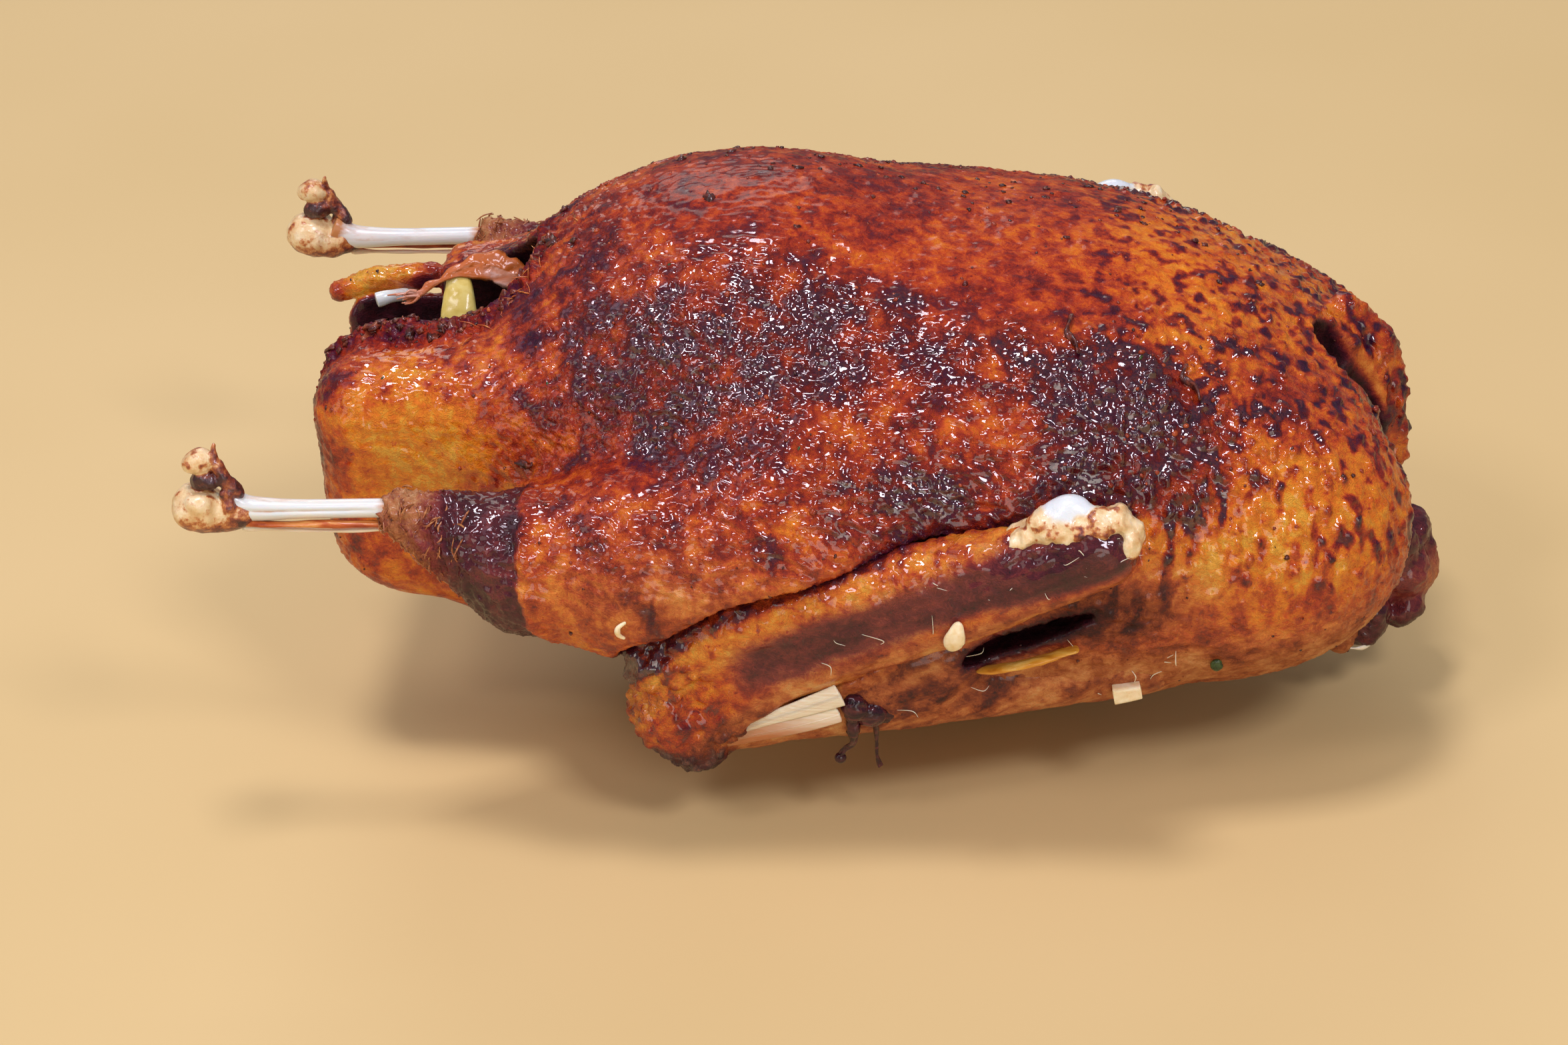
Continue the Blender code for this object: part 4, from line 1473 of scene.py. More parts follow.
    def settled(self, shape: Shape) -> Shape:
        """The shape on its own side; a far one lies further up and forward towards the wrist."""
        if self.side is Side.FAR:
            share = clipped((shape.points[:, :1] + 36.0) / 84.0)
            shape.points = shape.points + share * np.array([4.0, 0.0, 4.2])
        return shape.on(self.side)

    def skin(self, finish: Material) -> Shape:
        """Nets the wing, marks it and serves it."""
        shape = netted(self.distance, ((-50, -82, 8), (72, -26, 86)), cell=0.62, rounds=2)
        self.mark(shape)
        label = self.side.label
        nodes = ("forearm_" + label, "upper_arm_" + label)
        serve("wing_" + label, self.settled(shape), finish, Slot.SKIN, *nodes)
        return shape

    def wrist(self, finish: Material) -> None:
        """A white knob of cartilage beside cream and red-brown lumps on the forearm's end."""
        grain = Grain(71)

        def field_at(p: Array) -> Array:
            """The cream lumps run together; the knob stands clear of them."""
            d = melted(self.cream[0].distance(p), self.cream[1:], 2.8, p)
            return blended(d + 0.85 * grain.layered(p, 2.6, 3), self.knob.distance(p), 3.0)

        shape = netted(field_at, ((28, -75, 58), (62, -58, 83)), cell=0.36, rounds=2)
        p = shape.places
        x, _, z = p.T
        cloud = grain.layered(p + 5.0, 3.4, 3)
        top = ease(74.2, 76.0, z + 1.6 * cloud - 0.25 * (x - 43.0))
        white = ease(1.4, 0.3, self.knob.distance(p)) * top
        scrap = 0.52 * ease(-0.05, 0.4, cloud) + 0.85 * ease(69.0, 66.0, z + 1.5 * cloud)
        scrap = scrap + 0.50 * bell(x, 48.5, 2.6) * bell(z, 72.6, 2.6)
        shape.marks = {"scrap": clipped(scrap * (1.0 - white)), "white": white}
        shape.raised((0.36 * cloud + 0.14 * grain.layered(p, 1.4, 2)) * (1.0 - 0.9 * white))
        label = self.side.label
        serve("wrist_" + label, self.settled(shape), finish, Slot.GRISTLE, "wrist_joint_" + label)

    def membrane(self, finish: Material) -> None:
        """A whitish fan of sinew above a second pale strip, both cut off short at the front."""

        def pleated(wide: float, end: float, lines: float) -> Profile:
            """A thin oval that widens along its length, pleated across."""

            def reach(s: Array, a: Array) -> Array:
                """The thin oval with two sizes of pleat on its flat sides."""
                pleat = 0.05 * np.sin(lines * np.sin(a) + 2.0 * s) + 0.03 * np.sin(2.3 * lines * np.sin(a))
                return oval(a, 0.45 + pleat * np.abs(np.cos(a)), wide + (end - wide) * s**0.8, 2.2)

            return reach

        upper = [(-24, -65.0, 23.6), (-16, -66.4, 28.0), (-8, -67.2, 31.6), (-1.0, -67.4, 34.6)]
        lower = [(-27, -64.2, 21.4), (-17, -66.0, 24.8), (-8, -66.8, 27.6), (-1.4, -66.6, 29.8)]
        fan = carried(upper, 110, pleated(0.4, 2.6, 23.0), columns=140, cap=0.02)
        strip = carried(lower, 110, pleated(1.6, 1.9, 5.0), columns=90, cap=0.04)
        for shape, clean in ((fan, 0.5), (strip, 0.95)):
            edge = 0.25 * ease(-0.4, -1.0, np.sin(shape.marks["a"])) * (clean > 0.6)
            fading = 0.85 * ease(clean, clean - 0.7, shape.marks["s"])
            shape.marks["stain"] = clipped(fading + edge)
        both = together([fan, strip])
        serve("wing_membrane_" + self.side.label, both.on(self.side), finish, Slot.GRISTLE)

    def drips(self, finish: Material) -> None:
        """Dark torn tissue at the front of the fan, with a bead and two strands hanging from it."""
        lump = lumpy((2.6, -64.0, 27.8), self.clot, 60, 80, 0.3)
        shapes = [lump.raised(0.5 * Grain(67).layered(lump.places, 2.2, 3))]

        def lobed(radii: Sequence[float]) -> Profile:
            """A lobed profile, as wide as the radii say where the knots are."""
            last = len(radii) - 1

            def reach(s: Array, a: Array) -> Array:
                """The radius between the knots, raised into three twisted lobes."""
                return np.interp(last * s, range(last + 1), radii) * (1.0 + 0.22 * np.sin(3 * a + 9 * s))

            return reach

        shapes.extend(carried(strand.knots, 60, lobed(strand.radii), columns=20) for strand in self.hanging)
        drop = (-2.3, -61.0, 16.0)
        shapes.append(lumpy(drop, [Ball(drop, (1.2, 1.0, 1.2))], 16, 20))
        serve("wing_drips_" + self.side.label, together(shapes).on(self.side), finish, Slot.MEAT)

    def fat(self, finish: Material) -> None:
        """A golden roll of fat along the foot of the pocket behind the forearm."""
        knots = [
            (25.0, -60.4, 36.2), (31, -60.8, 37.2), (36, -60.8, 38.5), (41, -59.8, 39.8), (45, -58.8, 40.6),
        ]

        def reach(s: Array, a: Array) -> Array:
            """A flat oval, tallest half way along."""
            return oval(a, 1.6, 0.42 + 0.32 * np.sin(np.pi * s) ** 0.7)

        shape = carried(knots, 80, reach, columns=36, cap=0.1)
        shape.raised(0.25 * Grain(73).layered(shape.places, 3.0, 2))
        serve("fat_strip_" + self.side.label, shape.on(self.side), finish, Slot.TENDON)


# ---------------------------------------------------------------- the legs


@dataclass
class Shank:
    """The bare end of a leg: bone, tendon and knuckle."""

    side: Side
    hard: tuple[Ball, ...] = (
        Ball((-126.4, -59.6, 71.2), (5.0, 5.4, 4.6), 12.0),
        Ball((-125.4, -63.0, 73.6), (2.6, 2.2, 2.0)),
        Ball((-120.8, -59.2, 69.8), (6.4, 3.6, 3.6), -6.0),
        Ball((-125.0, -59.6, 81.3), (3.5, 3.0, 2.5), -8.0),
    )
    torn: tuple[Ball | Chain, ...] = (
        Ball((-124.0, -59.5, 77.4), (3.2, 2.8, 2.3)),
        Chain(
            ((-121.8, -59.0, 84.8), (-121.9, -59.6, 81.4), (-120.3, -59.8, 77.4), (-118.0, -59.6, 74.4)),
            (0.4, 1.1, 1.6, 1.3),
        ),
        Chain(((-120.0, -60.6, 74.4), (-119.6, -61.6, 72.4), (-118.6, -61.4, 70.6)), (1.6, 1.3, 0.6)),
    )

    def lifted(self, shape: Shape) -> Shape:
        """The shape on its own side; the far leg is held 2 mm higher than the near one."""
        if self.side is Side.FAR:
            shape.points = shape.points + np.array([-0.5, 0.0, 2.0])
        return shape.on(self.side)

    def bone(self, finish: Material) -> None:
        """The shaft, waisted near the meat and flaring into the knuckle, with a shallow groove."""
        knots = [
            (-78, -59, 70.9), (-90, -59, 70.9), (-104, -59, 70.6),
            (-114, -59, 70.5), (-118.5, -59.0, 71.0), (-121.5, -58.8, 72.2),
        ]

        def reach(s: Array, a: Array) -> Array:
            """Round where it leaves the meat; taller than wide where it flares."""
            flare = ease(0.60, 0.95, s)
            swell = ease(0.40, 0.65, s)
            groove = 0.34 * bell(wrapped(a + 0.25), 0.0, 0.20) * ease(0.15, 0.3, s)
            outline = oval(a, 2.0 + 0.5 * swell + 0.2 * flare, 1.85 + 0.55 * swell + 1.3 * flare)
            return outline - groove * (1.0 - flare)

        shape = carried(knots, 170, reach, columns=72, cap=0.03)
        s, a = shape.marks["s"], wrapped(shape.marks["a"])
        line = bell(a, -0.25, 0.13) * ease(0.80, 0.6, s) * ease(0.2, 0.35, s)
        foot = ease(-0.9, -1.5, a) * ease(0.2, 0.5, s)
        stain = 0.55 * line + 0.9 * ease(0.24, 0.17, s) + 0.7 * ease(0.80, 0.97, s) + 0.45 * foot
        shape.marks = {"stain": clipped(stain)}
        label = self.side.label
        serve("shin_" + label, self.lifted(shape), finish, Slot.BONE, "leg_bone_" + label)

    def tendon(self, finish: Material, pale: Material) -> None:
        """An orange-red band under the bone with a thin pale strand below it."""
        label = self.side.label
        band = [
            (-122, -59.4, 68.8), (-114, -60.2, 67.9), (-103, -60.4, 68.0),
            (-94, -60.2, 68.0), (-84, -59, 67.8),
        ]
        strand = [
            (-118, -59.8, 66.8), (-110, -60.0, 66.5), (-100, -60.2, 66.4),
            (-90, -59.8, 66.6), (-83, -59.0, 66.8),
        ]

        def reach(s: Array, a: Array) -> Array:
            """A flat oval, tall at both ends and wavy between them."""
            tall = 0.62 + 1.0 * ease(0.25, 0.0, s) + 0.16 * np.sin(14 * s)
            return oval(a, 1.1, tall + 0.5 * ease(0.7, 1.0, s))

        def thin(s: Array, a: Array) -> Array:
            """A thread, thicker where it starts."""
            return 0.42 + 0.4 * ease(0.2, 0.0, s) + 0.06 * np.sin(23 * s)

        shape = carried(band, 110, reach, columns=32)
        shape.raised(0.22 * Grain(85).layered(shape.places, 2.0, 2, (4.0, 1.0, 1.0)))
        serve("tendon_" + label, self.lifted(shape), finish, Slot.TENDON, "leg_tendon_" + label)
        thread = carried(strand, 90, thin, columns=16)
        serve("tendon_strand_" + label, self.lifted(thread), pale, Slot.TENDON)

    def knuckle(self, finish: Material) -> None:
        """A large condyle below, a small one above and torn red-brown tissue between them."""
        label = self.side.label
        grain = Grain(83)

        def firm(p: Array) -> Array:
            """Cartilage alone."""
            d = melted(self.hard[0].distance(p), self.hard[1:], (1.6, 4.5, 0.5), p)
            return d + 0.7 * grain.layered(p + 6.0, 4.5, 3)

        def ragged(p: Array) -> Array:
            """Torn tissue alone, roughened at 1 to 3 mm."""
            return np.min([lump.distance(p) for lump in self.torn], axis=0) + 0.75 * grain.layered(p, 2.6, 3)

        def whole(p: Array) -> Array:
            """Both, run slightly together."""
            return blended(firm(p), ragged(p), 0.7)

        shape = netted(whole, ((-136, -70, 62), (-112, -50, 89)), cell=0.34, rounds=1)
        p = shape.places
        x, _, z = p.T
        cloud = grain.layered(p + 4.0, 2.6, 3)
        between = bell(z, 77.2, 1.9) * ease(-118.6, -121.5, x)
        scrap = ease(0.6, -0.4, ragged(p) - firm(p)) * (0.34 + 0.55 * between)
        scrap = scrap + 0.14 + 0.34 * ease(0.0, 0.5, cloud)
        scrap = scrap + 0.50 * ease(71.5, 67.0, z + 1.5 * cloud) + 0.25 * ease(-121.0, -117.0, x)
        shape.marks = {"scrap": clipped(scrap), "white": np.zeros_like(cloud)}
        shape.raised(0.12 * cloud)
        serve("knuckle_" + label, self.lifted(shape), finish, Slot.GRISTLE, "leg_knuckle_" + label)


# ---------------------------------------------------------------- neck and cavity


@dataclass
class NeckEnd:
    """The cut neck: dark glossy lumps round a paler face."""

    column: Chain = Chain(((80, 0, 26), (98, 0, 26), (108.5, 0, 26)), (9.5, 9.6, 7.6))
    lumps: tuple[Ball, ...] = (
        Ball((107.0, -5.5, 35.0), (5.6, 5.0, 4.2), 20.0),
        Ball((110.4, 2.0, 33.6), (4.8, 5.6, 4.0), -15.0),
        Ball((113.0, 3.0, 27.0), (3.4, 5.0, 5.0)),
        Ball((110.4, -4.5, 27.5), (4.6, 5.4, 4.4)),
        Ball((109.6, -3.0, 18.0), (4.6, 5.8, 3.6), -25.0),
        Ball((100.0, -7.5, 16.0), (6.6, 4.2, 4.2)),
        Ball((107.8, -3.0, 40.0), (2.3, 2.2, 2.3)),
        Ball((104.0, -9.0, 20.0), (3.2, 3.0, 3.6)),
    )

    def build(self, skin: Material, pale: Material) -> None:
        """Lumps of meat on a short column, roughened at two scales, with a lip of membrane below."""
        grain = Grain(101)

        def meat(p: Array) -> Array:
            """The column and its lumps run together."""
            return melted(self.column.distance(p), self.lumps, 3.0, p) + 1.5 * grain.layered(p, 5.0, 4)

        shape = netted(meat, ((68, -18, 4), (122, 16, 48)), cell=0.45, rounds=1)
        p = shape.places
        x, y, z = p.T
        cloud = grain.layered(p + 7.0, 4.6, 3)
        face = bell(z, 26.0, 5.0) * bell(y, -3.0, 6.5) * ease(103.0, 108.0, x)
        fibre = grain.layered(p, 1.6, 2, (1.0, 1.0, 5.0))
        shape.marks = {
            "done": clipped(0.76 + 0.24 * cloud - 0.46 * face + 0.10 * fibre),
            "pale": np.zeros_like(x),
            "meat": np.ones_like(x),
            "wet": 0.95 - 0.7 * face,
            "char": np.zeros_like(x),
        }
        shape.raised(0.30 * grain.layered(p, 1.7, 2))
        serve("neck_meat", shape, skin, Slot.MEAT, "neck_stump")
        rim = [(96.4, -12.6, 14.2), (98.5, -12.4, 13.4), (101.0, -11.6, 12.9), (103, -10.2, 12.9)]
        lip = carried(rim, 60, lambda s, a: oval(a, 0.28, 0.36 + 0.2 * np.sin(11 * s)), columns=20)
        serve("neck_membrane", lip, pale, Slot.TENDON)


@dataclass
class Cavity:
    """What shows in the open tail end."""

    def wedge(self, finish: Material) -> None:
        """A pale wedge that widens downwards, flat on its face and notched at its foot."""

        def reach(s: Array, a: Array) -> Array:
            """A flat rounded oval, wide along X."""
            notch = 0.5 * bell(wrapped(a - 1.2), 0.0, 0.3) * ease(0.2, 0.4, s)
            return oval(a, 1.5 + 0.4 * s, 2.2 + 4.0 * s, 3.2) - notch

        knots = [(-84.4, 9.0, 87.6), (-84.0, 2.5, 78.5), (-83.6, -2.5, 58.0)]
        shape = carried(knots, 80, reach, columns=64, cap=0.03)
        shape.raised(0.12 * Grain(113).layered(shape.places, 3.0, 2))
        serve("wedge", shape, finish, Slot.WEDGE, "stuffing_wedge")

    def strip(self, finish: Material) -> None:
        """A torn flap of skin that arches over the cavity, frayed at its tail end."""
        knots = [
            (-94.8, 3.8, 84.8), (-89.6, 5.6, 87.2), (-83.6, 8.2, 89.6),
            (-78.4, 9.8, 89.6), (-73.6, 10.4, 87.6), (-68.0, 9.6, 85.4),
        ]

        def reach(s: Array, a: Array) -> Array:
            """A thin flat oval, widest two thirds of the way along, with wavy edges."""
            wide = 0.6 + 2.9 * bell(s, 0.68, 0.27) + 0.8 * ease(0.8, 1.0, s)
            lower = 0.35 * np.sin(17.0 * s) * ease(0.3, -0.6, np.sin(a))
            return oval(a, 0.36, wide + (lower + 0.3 * np.sin(41.0 * s) * ease(0.3, 0.9, np.sin(a))))

        shape = carried(knots, 130, reach, out=(0.0, -0.80, 0.60), columns=72)
        s, p = shape.marks["s"], shape.places
        grain = Grain(111)
        cloud = grain.layered(p, 2.6, 3)
        ridge = grain.layered(turned(p, 30.0), 1.4, 2, (6.0, 1.0, 1.0))
        # paler, less stained on the flap's underside near its end: partly its own pale pink, partly a painted
        # sheen
        gloss = bell(s, 0.74, 0.12) * ease(0.4, -0.4, np.sin(shape.marks["a"]))
        stain = 0.95 - 0.95 * gloss - 0.30 * ease(0.30, 0.0, s) + 0.35 * cloud
        shape.marks = {"stain": clipped(stain)}
        shape.raised(0.25 * cloud + 0.35 * ridge * (1.0 - 0.7 * gloss))
        shapes = [shape]
        draw = np.random.default_rng(5)
        for _ in range(9):
            offset = (draw.uniform(0.0, 4.0), draw.uniform(-0.8, 0.8), draw.uniform(-0.6, 1.4))
            begin = np.array([-94.6, 4.0, 85.6]) + offset
            away = np.array([-draw.uniform(2.2, 4.6), -draw.uniform(0.4, 1.6), draw.uniform(-2.6, 0.3)])
            bend = draw.uniform(-0.5, 0.5, 3)
            path = [begin, begin + away / 2 + bend, begin + away]
            fray = carried(path, 20, lambda s, a: 0.42 * (1.0 - 0.7 * s), columns=8)
            fray.marks = {"stain": np.full(len(fray.points), draw.uniform(0.3, 0.8))}
            shapes.append(fray)
        serve("skin_strip", together(shapes), finish, Slot.SKIN, "vent_strip")

    def hip_bone(self, finish: Material) -> None:
        """The end of a hip bone under the far rim, glossy and pale."""
        knots = [(-102.6, 10.0, 81.5), (-100.0, 11.2, 81.8), (-98.0, 14.5, 80.6), (-96.4, 19.0, 78.6)]

        def reach(s: Array, a: Array) -> Array:
            """An oval that swells and shrinks a little."""
            return oval(a, 1.4, 1.6 - 0.25 * np.sin(3.0 * s) + 0.12 * np.sin(9.0 * s))

        shape = carried(knots, 80, reach, columns=40)
        shape.marks = {"stain": clipped(0.25 * ease(0.2, 0.6, shape.marks["s"]))}
        serve("hip", shape, finish, Slot.BONE, "hip_bone")


# ---------------------------------------------------------------- what sticks to the duck


@dataclass(frozen=True)
class Pebble:
    """A sort of small lump: its size, how much that varies and how ragged the lumps are."""

    count: int
    size: Triple
    spread: float
    seed: int
    ragged: float


@dataclass(frozen=True)
class Strand:
    """A sort of short thread: its heading, its shortest and longest length, its radius and curl."""

    count: int
    heading: Triple
    reach: tuple[float, float]
    thick: float
    seed: int
    curl: float


@dataclass
class Garnish:
    """Garlic, herbs, crumbs, shreds and beads of fat that stick to the duck."""

    skin: Shape
    wing: Shape
    burnt: tuple[tuple[Triple, ...], ...] = (
        ((43.4, -30.6, 99.3), (42.7, -35.0, 97.6), (44.2, -37.2, 96.4), (45.0, -39.2, 95.0)),
        ((65.6, -34.5, 90.5), (65.0, -37.3, 89.0), (67.4, -38.7, 87.5), (68.4, -40.6, 85.6)),
        ((-66.4, -41.0, 71.2), (-65.0, -41.6, 71.6), (-63.6, -42.4, 71.2), (-62.6, -42.6, 72.0)),
    )

    def __post_init__(self) -> None:
        """Makes the pebble that is scattered, and reads how each place on the skin lies."""
        self.pebble = lumpy((0, 0, 0), [Ball((0, 0, 0), (1, 1, 1))], 4, 8)
        self.x, self.y, self.z = self.skin.points.T
        self.outward, self.upward = -self.skin.normals()[:, 1], self.skin.normals()[:, 2]
        self.gap = Carcass().vent.distance(self.skin.places)

    def pick(self, shape: Shape, weight: Array, count: int, seed: int) -> tuple[Array, Array]:
        """Points of a shape drawn at random by weight, with their normals."""
        draw = np.random.default_rng(seed)
        weight = weight + 1e-9
        chosen = draw.choice(len(weight), count, replace=False, p=weight / weight.sum())
        return shape.points[chosen], shape.normals()[chosen]

    def pebbles(self, weight: Array, sort: Pebble) -> Shape:
        """Small lumps set on the skin where the weight is high."""
        places, normals = self.pick(self.skin, weight, sort.count, sort.seed)
        spread = np.random.default_rng(sort.seed).lognormal(0.0, sort.spread, (sort.count, 1))
        return scattered(self.pebble, places, normals, spread * np.array([sort.size]), sort.seed, sort.ragged)

    def strands(self, shape: Shape, weight: Array, sort: Strand) -> Shape:
        """Short curled threads that lie along a surface, roughly the way they are headed.

        Each one starts at a picked point and runs square to the normal there; its middle and its
        end stray by curl times its length, and lift a little from the surface.
        """
        draw = np.random.default_rng(sort.seed)
        shapes = []
        for place, normal in zip(*self.pick(shape, weight, sort.count, sort.seed)):
            run = np.array(sort.heading) + draw.normal(size=3) * 0.45
            run = unit(run - normal * (run @ normal)) * draw.uniform(*sort.reach)
            bend = draw.uniform(-sort.curl, sort.curl, (2, 3)) * float(np.linalg.norm(run))
            lift = normal * sort.thick * 0.9
            begin, end = place - run / 2 + 0.3 * lift, place + run / 2 + 0.45 * bend[1] + 0.3 * lift
            knots = [begin, place + 0.45 * bend[0] + lift, end]
            shapes.append(carried(knots, 14, tapered(sort.thick * draw.uniform(0.7, 1.3), 0.6), columns=6))
        return together(shapes)

    def crumbs(self, finish: Material) -> None:
        """Burnt crumbs along the keel, pepper lower down and three burnt wisps."""
        keel = bell(self.y, 14.0, 17.0) * ease(80.0, 98.0, self.z)
        flank = (0.10 * ease(0.2, 0.9, self.outward) + 0.08) * (self.z > 6.0)
        shapes = [
            self.pebbles(keel, Pebble(170, (0.46, 0.38, 0.26), spread=0.45, seed=3, ragged=0.5)),
            self.pebbles(flank, Pebble(260, (0.28, 0.22, 0.17), spread=0.35, seed=4, ragged=0.5)),
        ]

        def wisp(s: Array, a: Array) -> Array:
            """Knotty, thin at both ends."""
            return 0.62 + 0.22 * np.sin(9.0 * s + 2.0 * a) - 0.3 * np.abs(2 * s - 1)

        shapes.extend(carried(knots, 40, wisp, columns=14) for knots in self.burnt)
        serve("char_crumbs", together(shapes), finish, Slot.SKIN)

    def rim_crust(self, dark: Material, red: Material) -> None:
        """Crumbly crust on the near rim of the cavity, dark and red-brown."""
        weight = bell(self.gap, 2.6, 2.2) * ease(75.0, 82.0, self.z) * ease(-60.0, -68.0, self.x)
        weight = weight * ease(0.0, -6.0, self.y)
        coarse = Pebble(70, (0.50, 0.40, 0.24), spread=0.5, seed=8, ragged=0.7)
        fine = Pebble(120, (0.54, 0.42, 0.24), spread=0.5, seed=9, ragged=0.7)
        serve("rim_crust_dark", self.pebbles(weight, coarse), dark, Slot.SKIN)
        serve("rim_crust_red", self.pebbles(weight, fine), red, Slot.SKIN)

    def beads(self, finish: Material) -> None:
        """Glossy beads where fat has bubbled through the skin."""
        weight = (0.10 + self.skin.marks["char"]) * ease(50.0, 75.0, self.z)
        weight = weight * ease(-0.2, 0.3, self.upward)
        bead = Pebble(700, (0.36, 0.32, 0.22), spread=0.35, seed=12, ragged=0.25)
        serve("fat_beads", self.pebbles(weight, bead), finish, Slot.SKIN)

    def garlic(self, finish: Material) -> None:
        """A sliver, a chopped cube and a curled shaving of garlic."""
        flat = [(22.9, -72.6, 54.6), (22.4, -73.6, 52.4), (21.9, -73.4, 50.2), (22.3, -72.6, 48.8)]
        short = [(51.4, -53.4, 26.8), (54.2, -53.2, 27.2), (57.0, -52.8, 27.6)]
        bent = [(-41.0, -74.6, 54.9), (-42.5, -75.2, 53.9), (-42.6, -75.0, 52.3), (-41.4, -74.6, 51.2)]

        def leafy(s: Array, a: Array) -> Array:
            """A thick oval that tapers to a point."""
            return oval(a, 0.9, 1.9 * np.sin(np.pi * (0.2 + 0.75 * (1 - s))) + 0.2)

        sliver = carried(flat, 40, leafy, columns=28, cap=0.12)
        cube = carried(short, 30, lambda s, a: oval(a, 1.5, 1.9 - 0.4 * s, 5.0), columns=40, cap=0.05)
        curl = carried(bent, 30, lambda s, a: 0.62 - 0.35 * np.abs(2 * s - 1), columns=12)
        serve("garlic_bits", together([sliver, cube, curl]), finish, Slot.GRISTLE)

    def shreds(self, brown: Material, pale: Material) -> None:
        """Shreds of meat on the leg ends, and pale threads on the forearm and the lower flank."""
        cuff = ease(-70.0, -80.0, self.x) * ease(50.0, 54.0, np.abs(self.y))
        cuff = cuff * (self.skin.marks["meat"] > 0.5)
        shred = Strand(240, (0.5, 0.3, 1.0), (1.6, 4.5), thick=0.22, seed=91, curl=0.35)
        serve("leg_shreds", self.strands(self.skin, cuff, shred), brown, Slot.MEAT)
        x, _, z = self.wing.points.T
        band = self.wing.marks["meat"] * ease(-10.0, 5.0, x)
        band = (band + 0.3 * ease(-8.0, 0.0, x) * (z < 46.0)) * (-self.wing.normals()[:, 1] > 0.6)
        thread = Strand(26, (0.7, 0.0, -0.5), (2.0, 5.5), thick=0.09, seed=15, curl=0.9)
        low = (self.upward < -0.2) * ease(20.0, 30.0, self.x) * ease(75.0, 65.0, self.x)
        hem = Strand(12, (0.3, 0.0, -1.0), (2.5, 4.5), thick=0.11, seed=16, curl=0.9)
        both = [self.strands(self.wing, band, thread), self.strands(self.skin, low * (self.y < -40.0), hem)]
        serve("pale_threads", together(both), pale, Slot.TENDON)

    def vent_fibres(self, finish: Material) -> None:
        """Orange fibres drawn out of the skin beside the cavity."""
        weight = bell(self.gap, 4.0, 3.5) * ease(-82.0, -72.0, self.x)
        weight = weight * ease(-48.0, -56.0, self.x) * (self.z > 76.0) * (self.y < 0.0)
        fibre = Strand(60, (0.8, -0.2, -0.8), (2.5, 6.0), thick=0.13, seed=17, curl=0.15)
        serve("vent_fibres", self.strands(self.skin, weight, fibre), finish, Slot.SKIN)

    def herbs(self, finish: Material) -> None:
        """One round leaf scrap on the flank and a few flecks elsewhere."""
        weight = ease(0.0, 0.5, self.outward) * ease(20.0, 40.0, self.z)
        flecks = self.pebbles(weight, Pebble(9, (0.5, 0.28, 0.1), spread=0.2, seed=19, ragged=0.2))
        middle = (71.7, -50.6, 32.1)
        leaf = lumpy(middle, [Ball(middle, (1.3, 0.6, 1.25))], 14, 20)
        leaf.raised(0.15 * Grain(3).smooth(leaf.points, 0.8))
        serve("herb_flecks", together([flecks, leaf]), finish, Slot.WEDGE)


# ---------------------------------------------------------------- studio


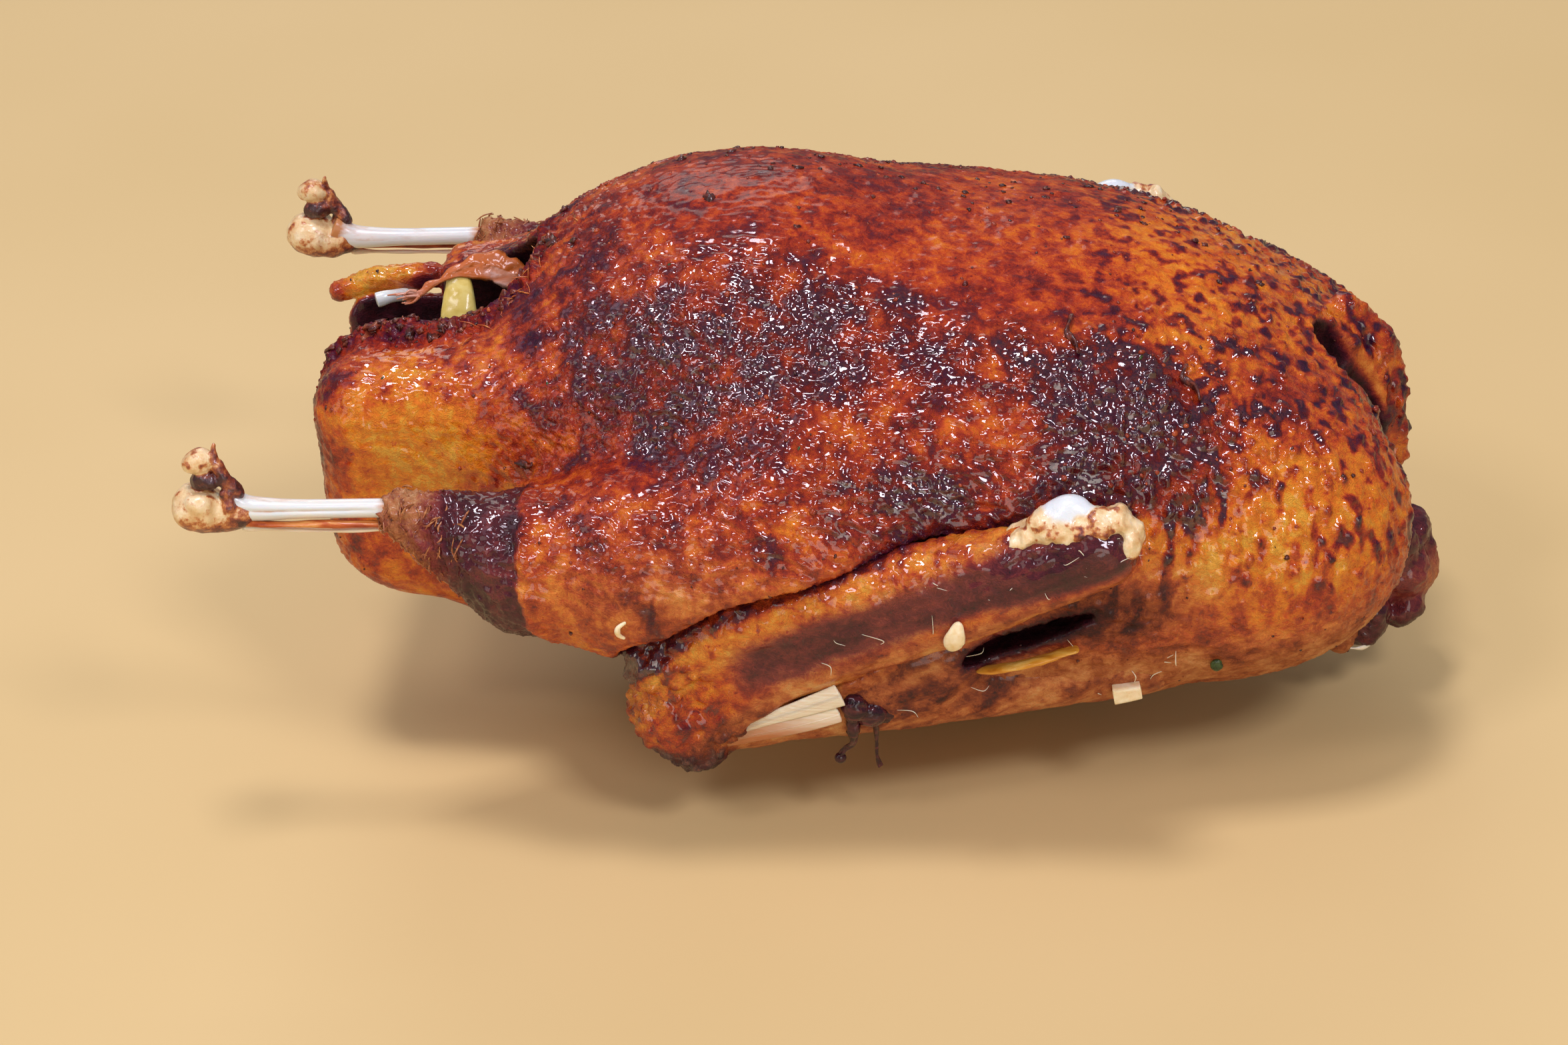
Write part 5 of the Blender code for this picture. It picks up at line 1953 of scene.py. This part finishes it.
@dataclass
class Studio:
    """Floor, soft lights and the camera."""

    azimuth: float = 7.0
    elevation: float = 29.3
    roll: float = 3.0
    distance: float = 919.4 * MM
    lens: float = 99.5
    sensor: float = 36.0
    aim_left: float = 20.1 * MM
    aim_up: float = 30.6 * MM
    floor_half: float = 3.0
    floor_height: float = -0.1 * MM
    lamp_aim: Triple = (0.0, 0.0, 0.06)
    lamp_away: float = 1.8
    room: float = 0.25
    lamps: tuple[tuple[str, Triple, float, float, Colour], ...] = (
        ("key", (-0.12, -0.06, 0.98), 0.38, 14.5, (0.95, 0.89, 1.0)),
        ("key_right", (0.42, -0.52, 0.72), 0.38, 12.0, (0.92, 0.86, 1.0)),
        ("key_left", (-0.40, -0.50, 0.76), 0.38, 6.0, (0.92, 0.85, 1.0)),
        ("sky_left", (-0.60, -0.05, 0.80), 0.9, 2.0, (0.94, 0.80, 1.0)),
        ("front", (0.25, -0.95, 0.12), 1.0, 8.2, (1.0, 0.95, 0.86)),
        ("front_left", (-0.75, -0.60, 0.30), 0.8, 2.6, (1.0, 0.95, 0.88)),
        ("back", (-0.2, 0.85, 0.60), 0.8, 5.2, (1.0, 0.95, 0.88)),
    )

    def floor(self) -> None:
        """A wide plain floor just under the duck."""
        half = self.floor_half
        mesh = bpy.data.meshes.new("floor")
        corners = [(x * half, y * half, self.floor_height) for x, y in ((-1, -1), (1, -1), (1, 1), (-1, 1))]
        mesh.from_pydata(corners, [], [(0, 1, 2, 3)])
        floor = placed("floor", mesh)
        mesh.materials.append(TableTop().make())

    def light(self, name: str, heading: Triple, size: float, power: float, colour: Colour) -> None:
        """A square soft light that shines at the duck from the wanted heading."""
        lamp = bpy.data.lights.new(name, "AREA")
        lamp.shape, lamp.size = "SQUARE", size
        lamp.energy, lamp.color = power, colour
        item, middle = placed(name, lamp), Vector(self.lamp_aim)
        item.location = middle + Vector(heading).normalized() * self.lamp_away
        item.rotation_euler = (item.location - middle).to_track_quat("Z", "Y").to_euler()

    def lights(self) -> None:
        """Small cool keys that glint in the skin, warm lamps in front and behind, and a dim room."""
        for lamp in self.lamps:
            self.light(*lamp)
        world = bpy.data.worlds.new("room")
        world.use_nodes = True
        backdrop = world.node_tree.nodes["Background"]
        backdrop.inputs["Color"].default_value = (0.90, 0.90, 1.0, 1.0)
        backdrop.inputs["Strength"].default_value = self.room
        bpy.context.scene.world = world
        bpy.context.scene.view_settings.view_transform = "Standard"

    def camera(self) -> None:
        """A long lens that looks down on the near side, turned a little about its own axis."""
        azimuth, elevation, roll = np.radians([self.azimuth, self.elevation, self.roll])
        level, right = np.cos(elevation), Vector((np.cos(azimuth), np.sin(azimuth), 0.0))
        back = Vector((np.sin(azimuth) * level, -np.cos(azimuth) * level, np.sin(elevation)))
        up = back.cross(right)
        tilted_right = right * np.cos(roll) - up * np.sin(roll)
        tilted_up = right * np.sin(roll) + up * np.cos(roll)
        lens = bpy.data.cameras.new("camera")
        lens.lens, lens.sensor_width, lens.clip_start = self.lens, self.sensor, 0.01
        item = placed("camera", lens)
        place = tilted_up * self.aim_up - tilted_right * self.aim_left + back * self.distance
        turn = Matrix((tilted_right, tilted_up, back)).transposed().to_4x4()
        item.matrix_world = Matrix.Translation(place) @ turn
        bpy.context.scene.camera = item


STREAKED = (
    Streaked("tendon_band", ((0.28, 0.038, 0.010), (0.50, 0.11, 0.020), (0.68, 0.30, 0.075))),
    Streaked("dark_meat", ((0.12, 0.020, 0.012), (0.34, 0.10, 0.035), (0.56, 0.26, 0.09)), size=0.9),
    Streaked("juice", ((0.012, 0.003, 0.007), (0.035, 0.006, 0.012), (0.11, 0.020, 0.022)), roughness=0.15),
    Streaked(
        "torn_skin", ((0.50, 0.15, 0.06), (0.62, 0.26, 0.15), (0.76, 0.50, 0.42)),
        size=1.4, stained=(0.50, 0.12, 0.020),
    ),
    Streaked(
        "pale_wedge", ((0.56, 0.40, 0.06), (0.68, 0.52, 0.12), (0.76, 0.64, 0.22)),
        size=4.0, stretch=1.0, depth=0.1,
    ),
    Streaked(
        "fat_strip", ((0.45, 0.15, 0.012), (0.66, 0.30, 0.03), (0.78, 0.50, 0.12)),
        size=2.0, roughness=0.2,
    ),
    Streaked(
        "sinew", ((0.74, 0.60, 0.41), (0.80, 0.70, 0.52), (0.85, 0.79, 0.65)),
        size=0.4, stretch=30.0, roughness=0.3, depth=0.02, translucent=0.2,
    ),
    Streaked(
        "garlic", ((0.74, 0.56, 0.27), (0.84, 0.70, 0.42), (0.90, 0.80, 0.56)),
        size=2.0, stretch=1.0, depth=0.1, translucent=0.2,
    ),
    Streaked(
        "char", ((0.016, 0.006, 0.006), (0.07, 0.014, 0.010), (0.20, 0.038, 0.016)),
        size=1.4, stretch=1.0, depth=0.3,
    ),
    Streaked(
        "crust", ((0.05, 0.008, 0.007), (0.16, 0.026, 0.012), (0.34, 0.08, 0.025)),
        size=2.2, stretch=1.0, depth=0.3,
    ),
    Streaked(
        "fat_bead", ((0.08, 0.009, 0.008), (0.26, 0.032, 0.010), (0.45, 0.09, 0.02)),
        size=5.0, stretch=1.0, roughness=0.14,
    ),
    Streaked(
        "herb", ((0.012, 0.022, 0.007), (0.030, 0.060, 0.012), (0.07, 0.11, 0.025)),
        size=0.8, stretch=1.0,
    ),
)


def main() -> None:
    """Builds the duck piece by piece, then the studio; each piece's points and faces are logged."""
    logging.basicConfig(level=logging.INFO, format="%(name)s: %(message)s", stream=sys.stdout)
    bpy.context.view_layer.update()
    skin, bone, gristle = RoastSkin().make(), Bone().make(), Gristle().make()
    looks = {streaked.name: streaked.make() for streaked in STREAKED}

    carcass = Carcass().build(skin)
    wings = {}
    for side in Side:
        wing, shank = Wing(side), Shank(side)
        wings[side] = wing.skin(skin)
        wing.wrist(gristle)
        wing.membrane(looks["sinew"])
        wing.drips(looks["juice"])
        wing.fat(looks["fat_strip"])
        shank.bone(bone)
        shank.tendon(looks["tendon_band"], looks["sinew"])
        shank.knuckle(gristle)
    NeckEnd().build(skin, looks["sinew"])
    cavity = Cavity()
    cavity.wedge(looks["pale_wedge"])
    cavity.strip(looks["torn_skin"])
    cavity.hip_bone(bone)
    garnish = Garnish(carcass, wings[Side.NEAR])
    garnish.crumbs(looks["char"])
    garnish.rim_crust(looks["char"], looks["crust"])
    garnish.beads(looks["fat_bead"])
    garnish.garlic(looks["garlic"])
    garnish.shreds(looks["dark_meat"], looks["sinew"])
    garnish.vent_fibres(looks["tendon_band"])
    garnish.herbs(looks["herb"])

    studio = Studio()
    studio.floor()
    studio.lights()
    studio.camera()


if __name__ == "__main__":
    main()
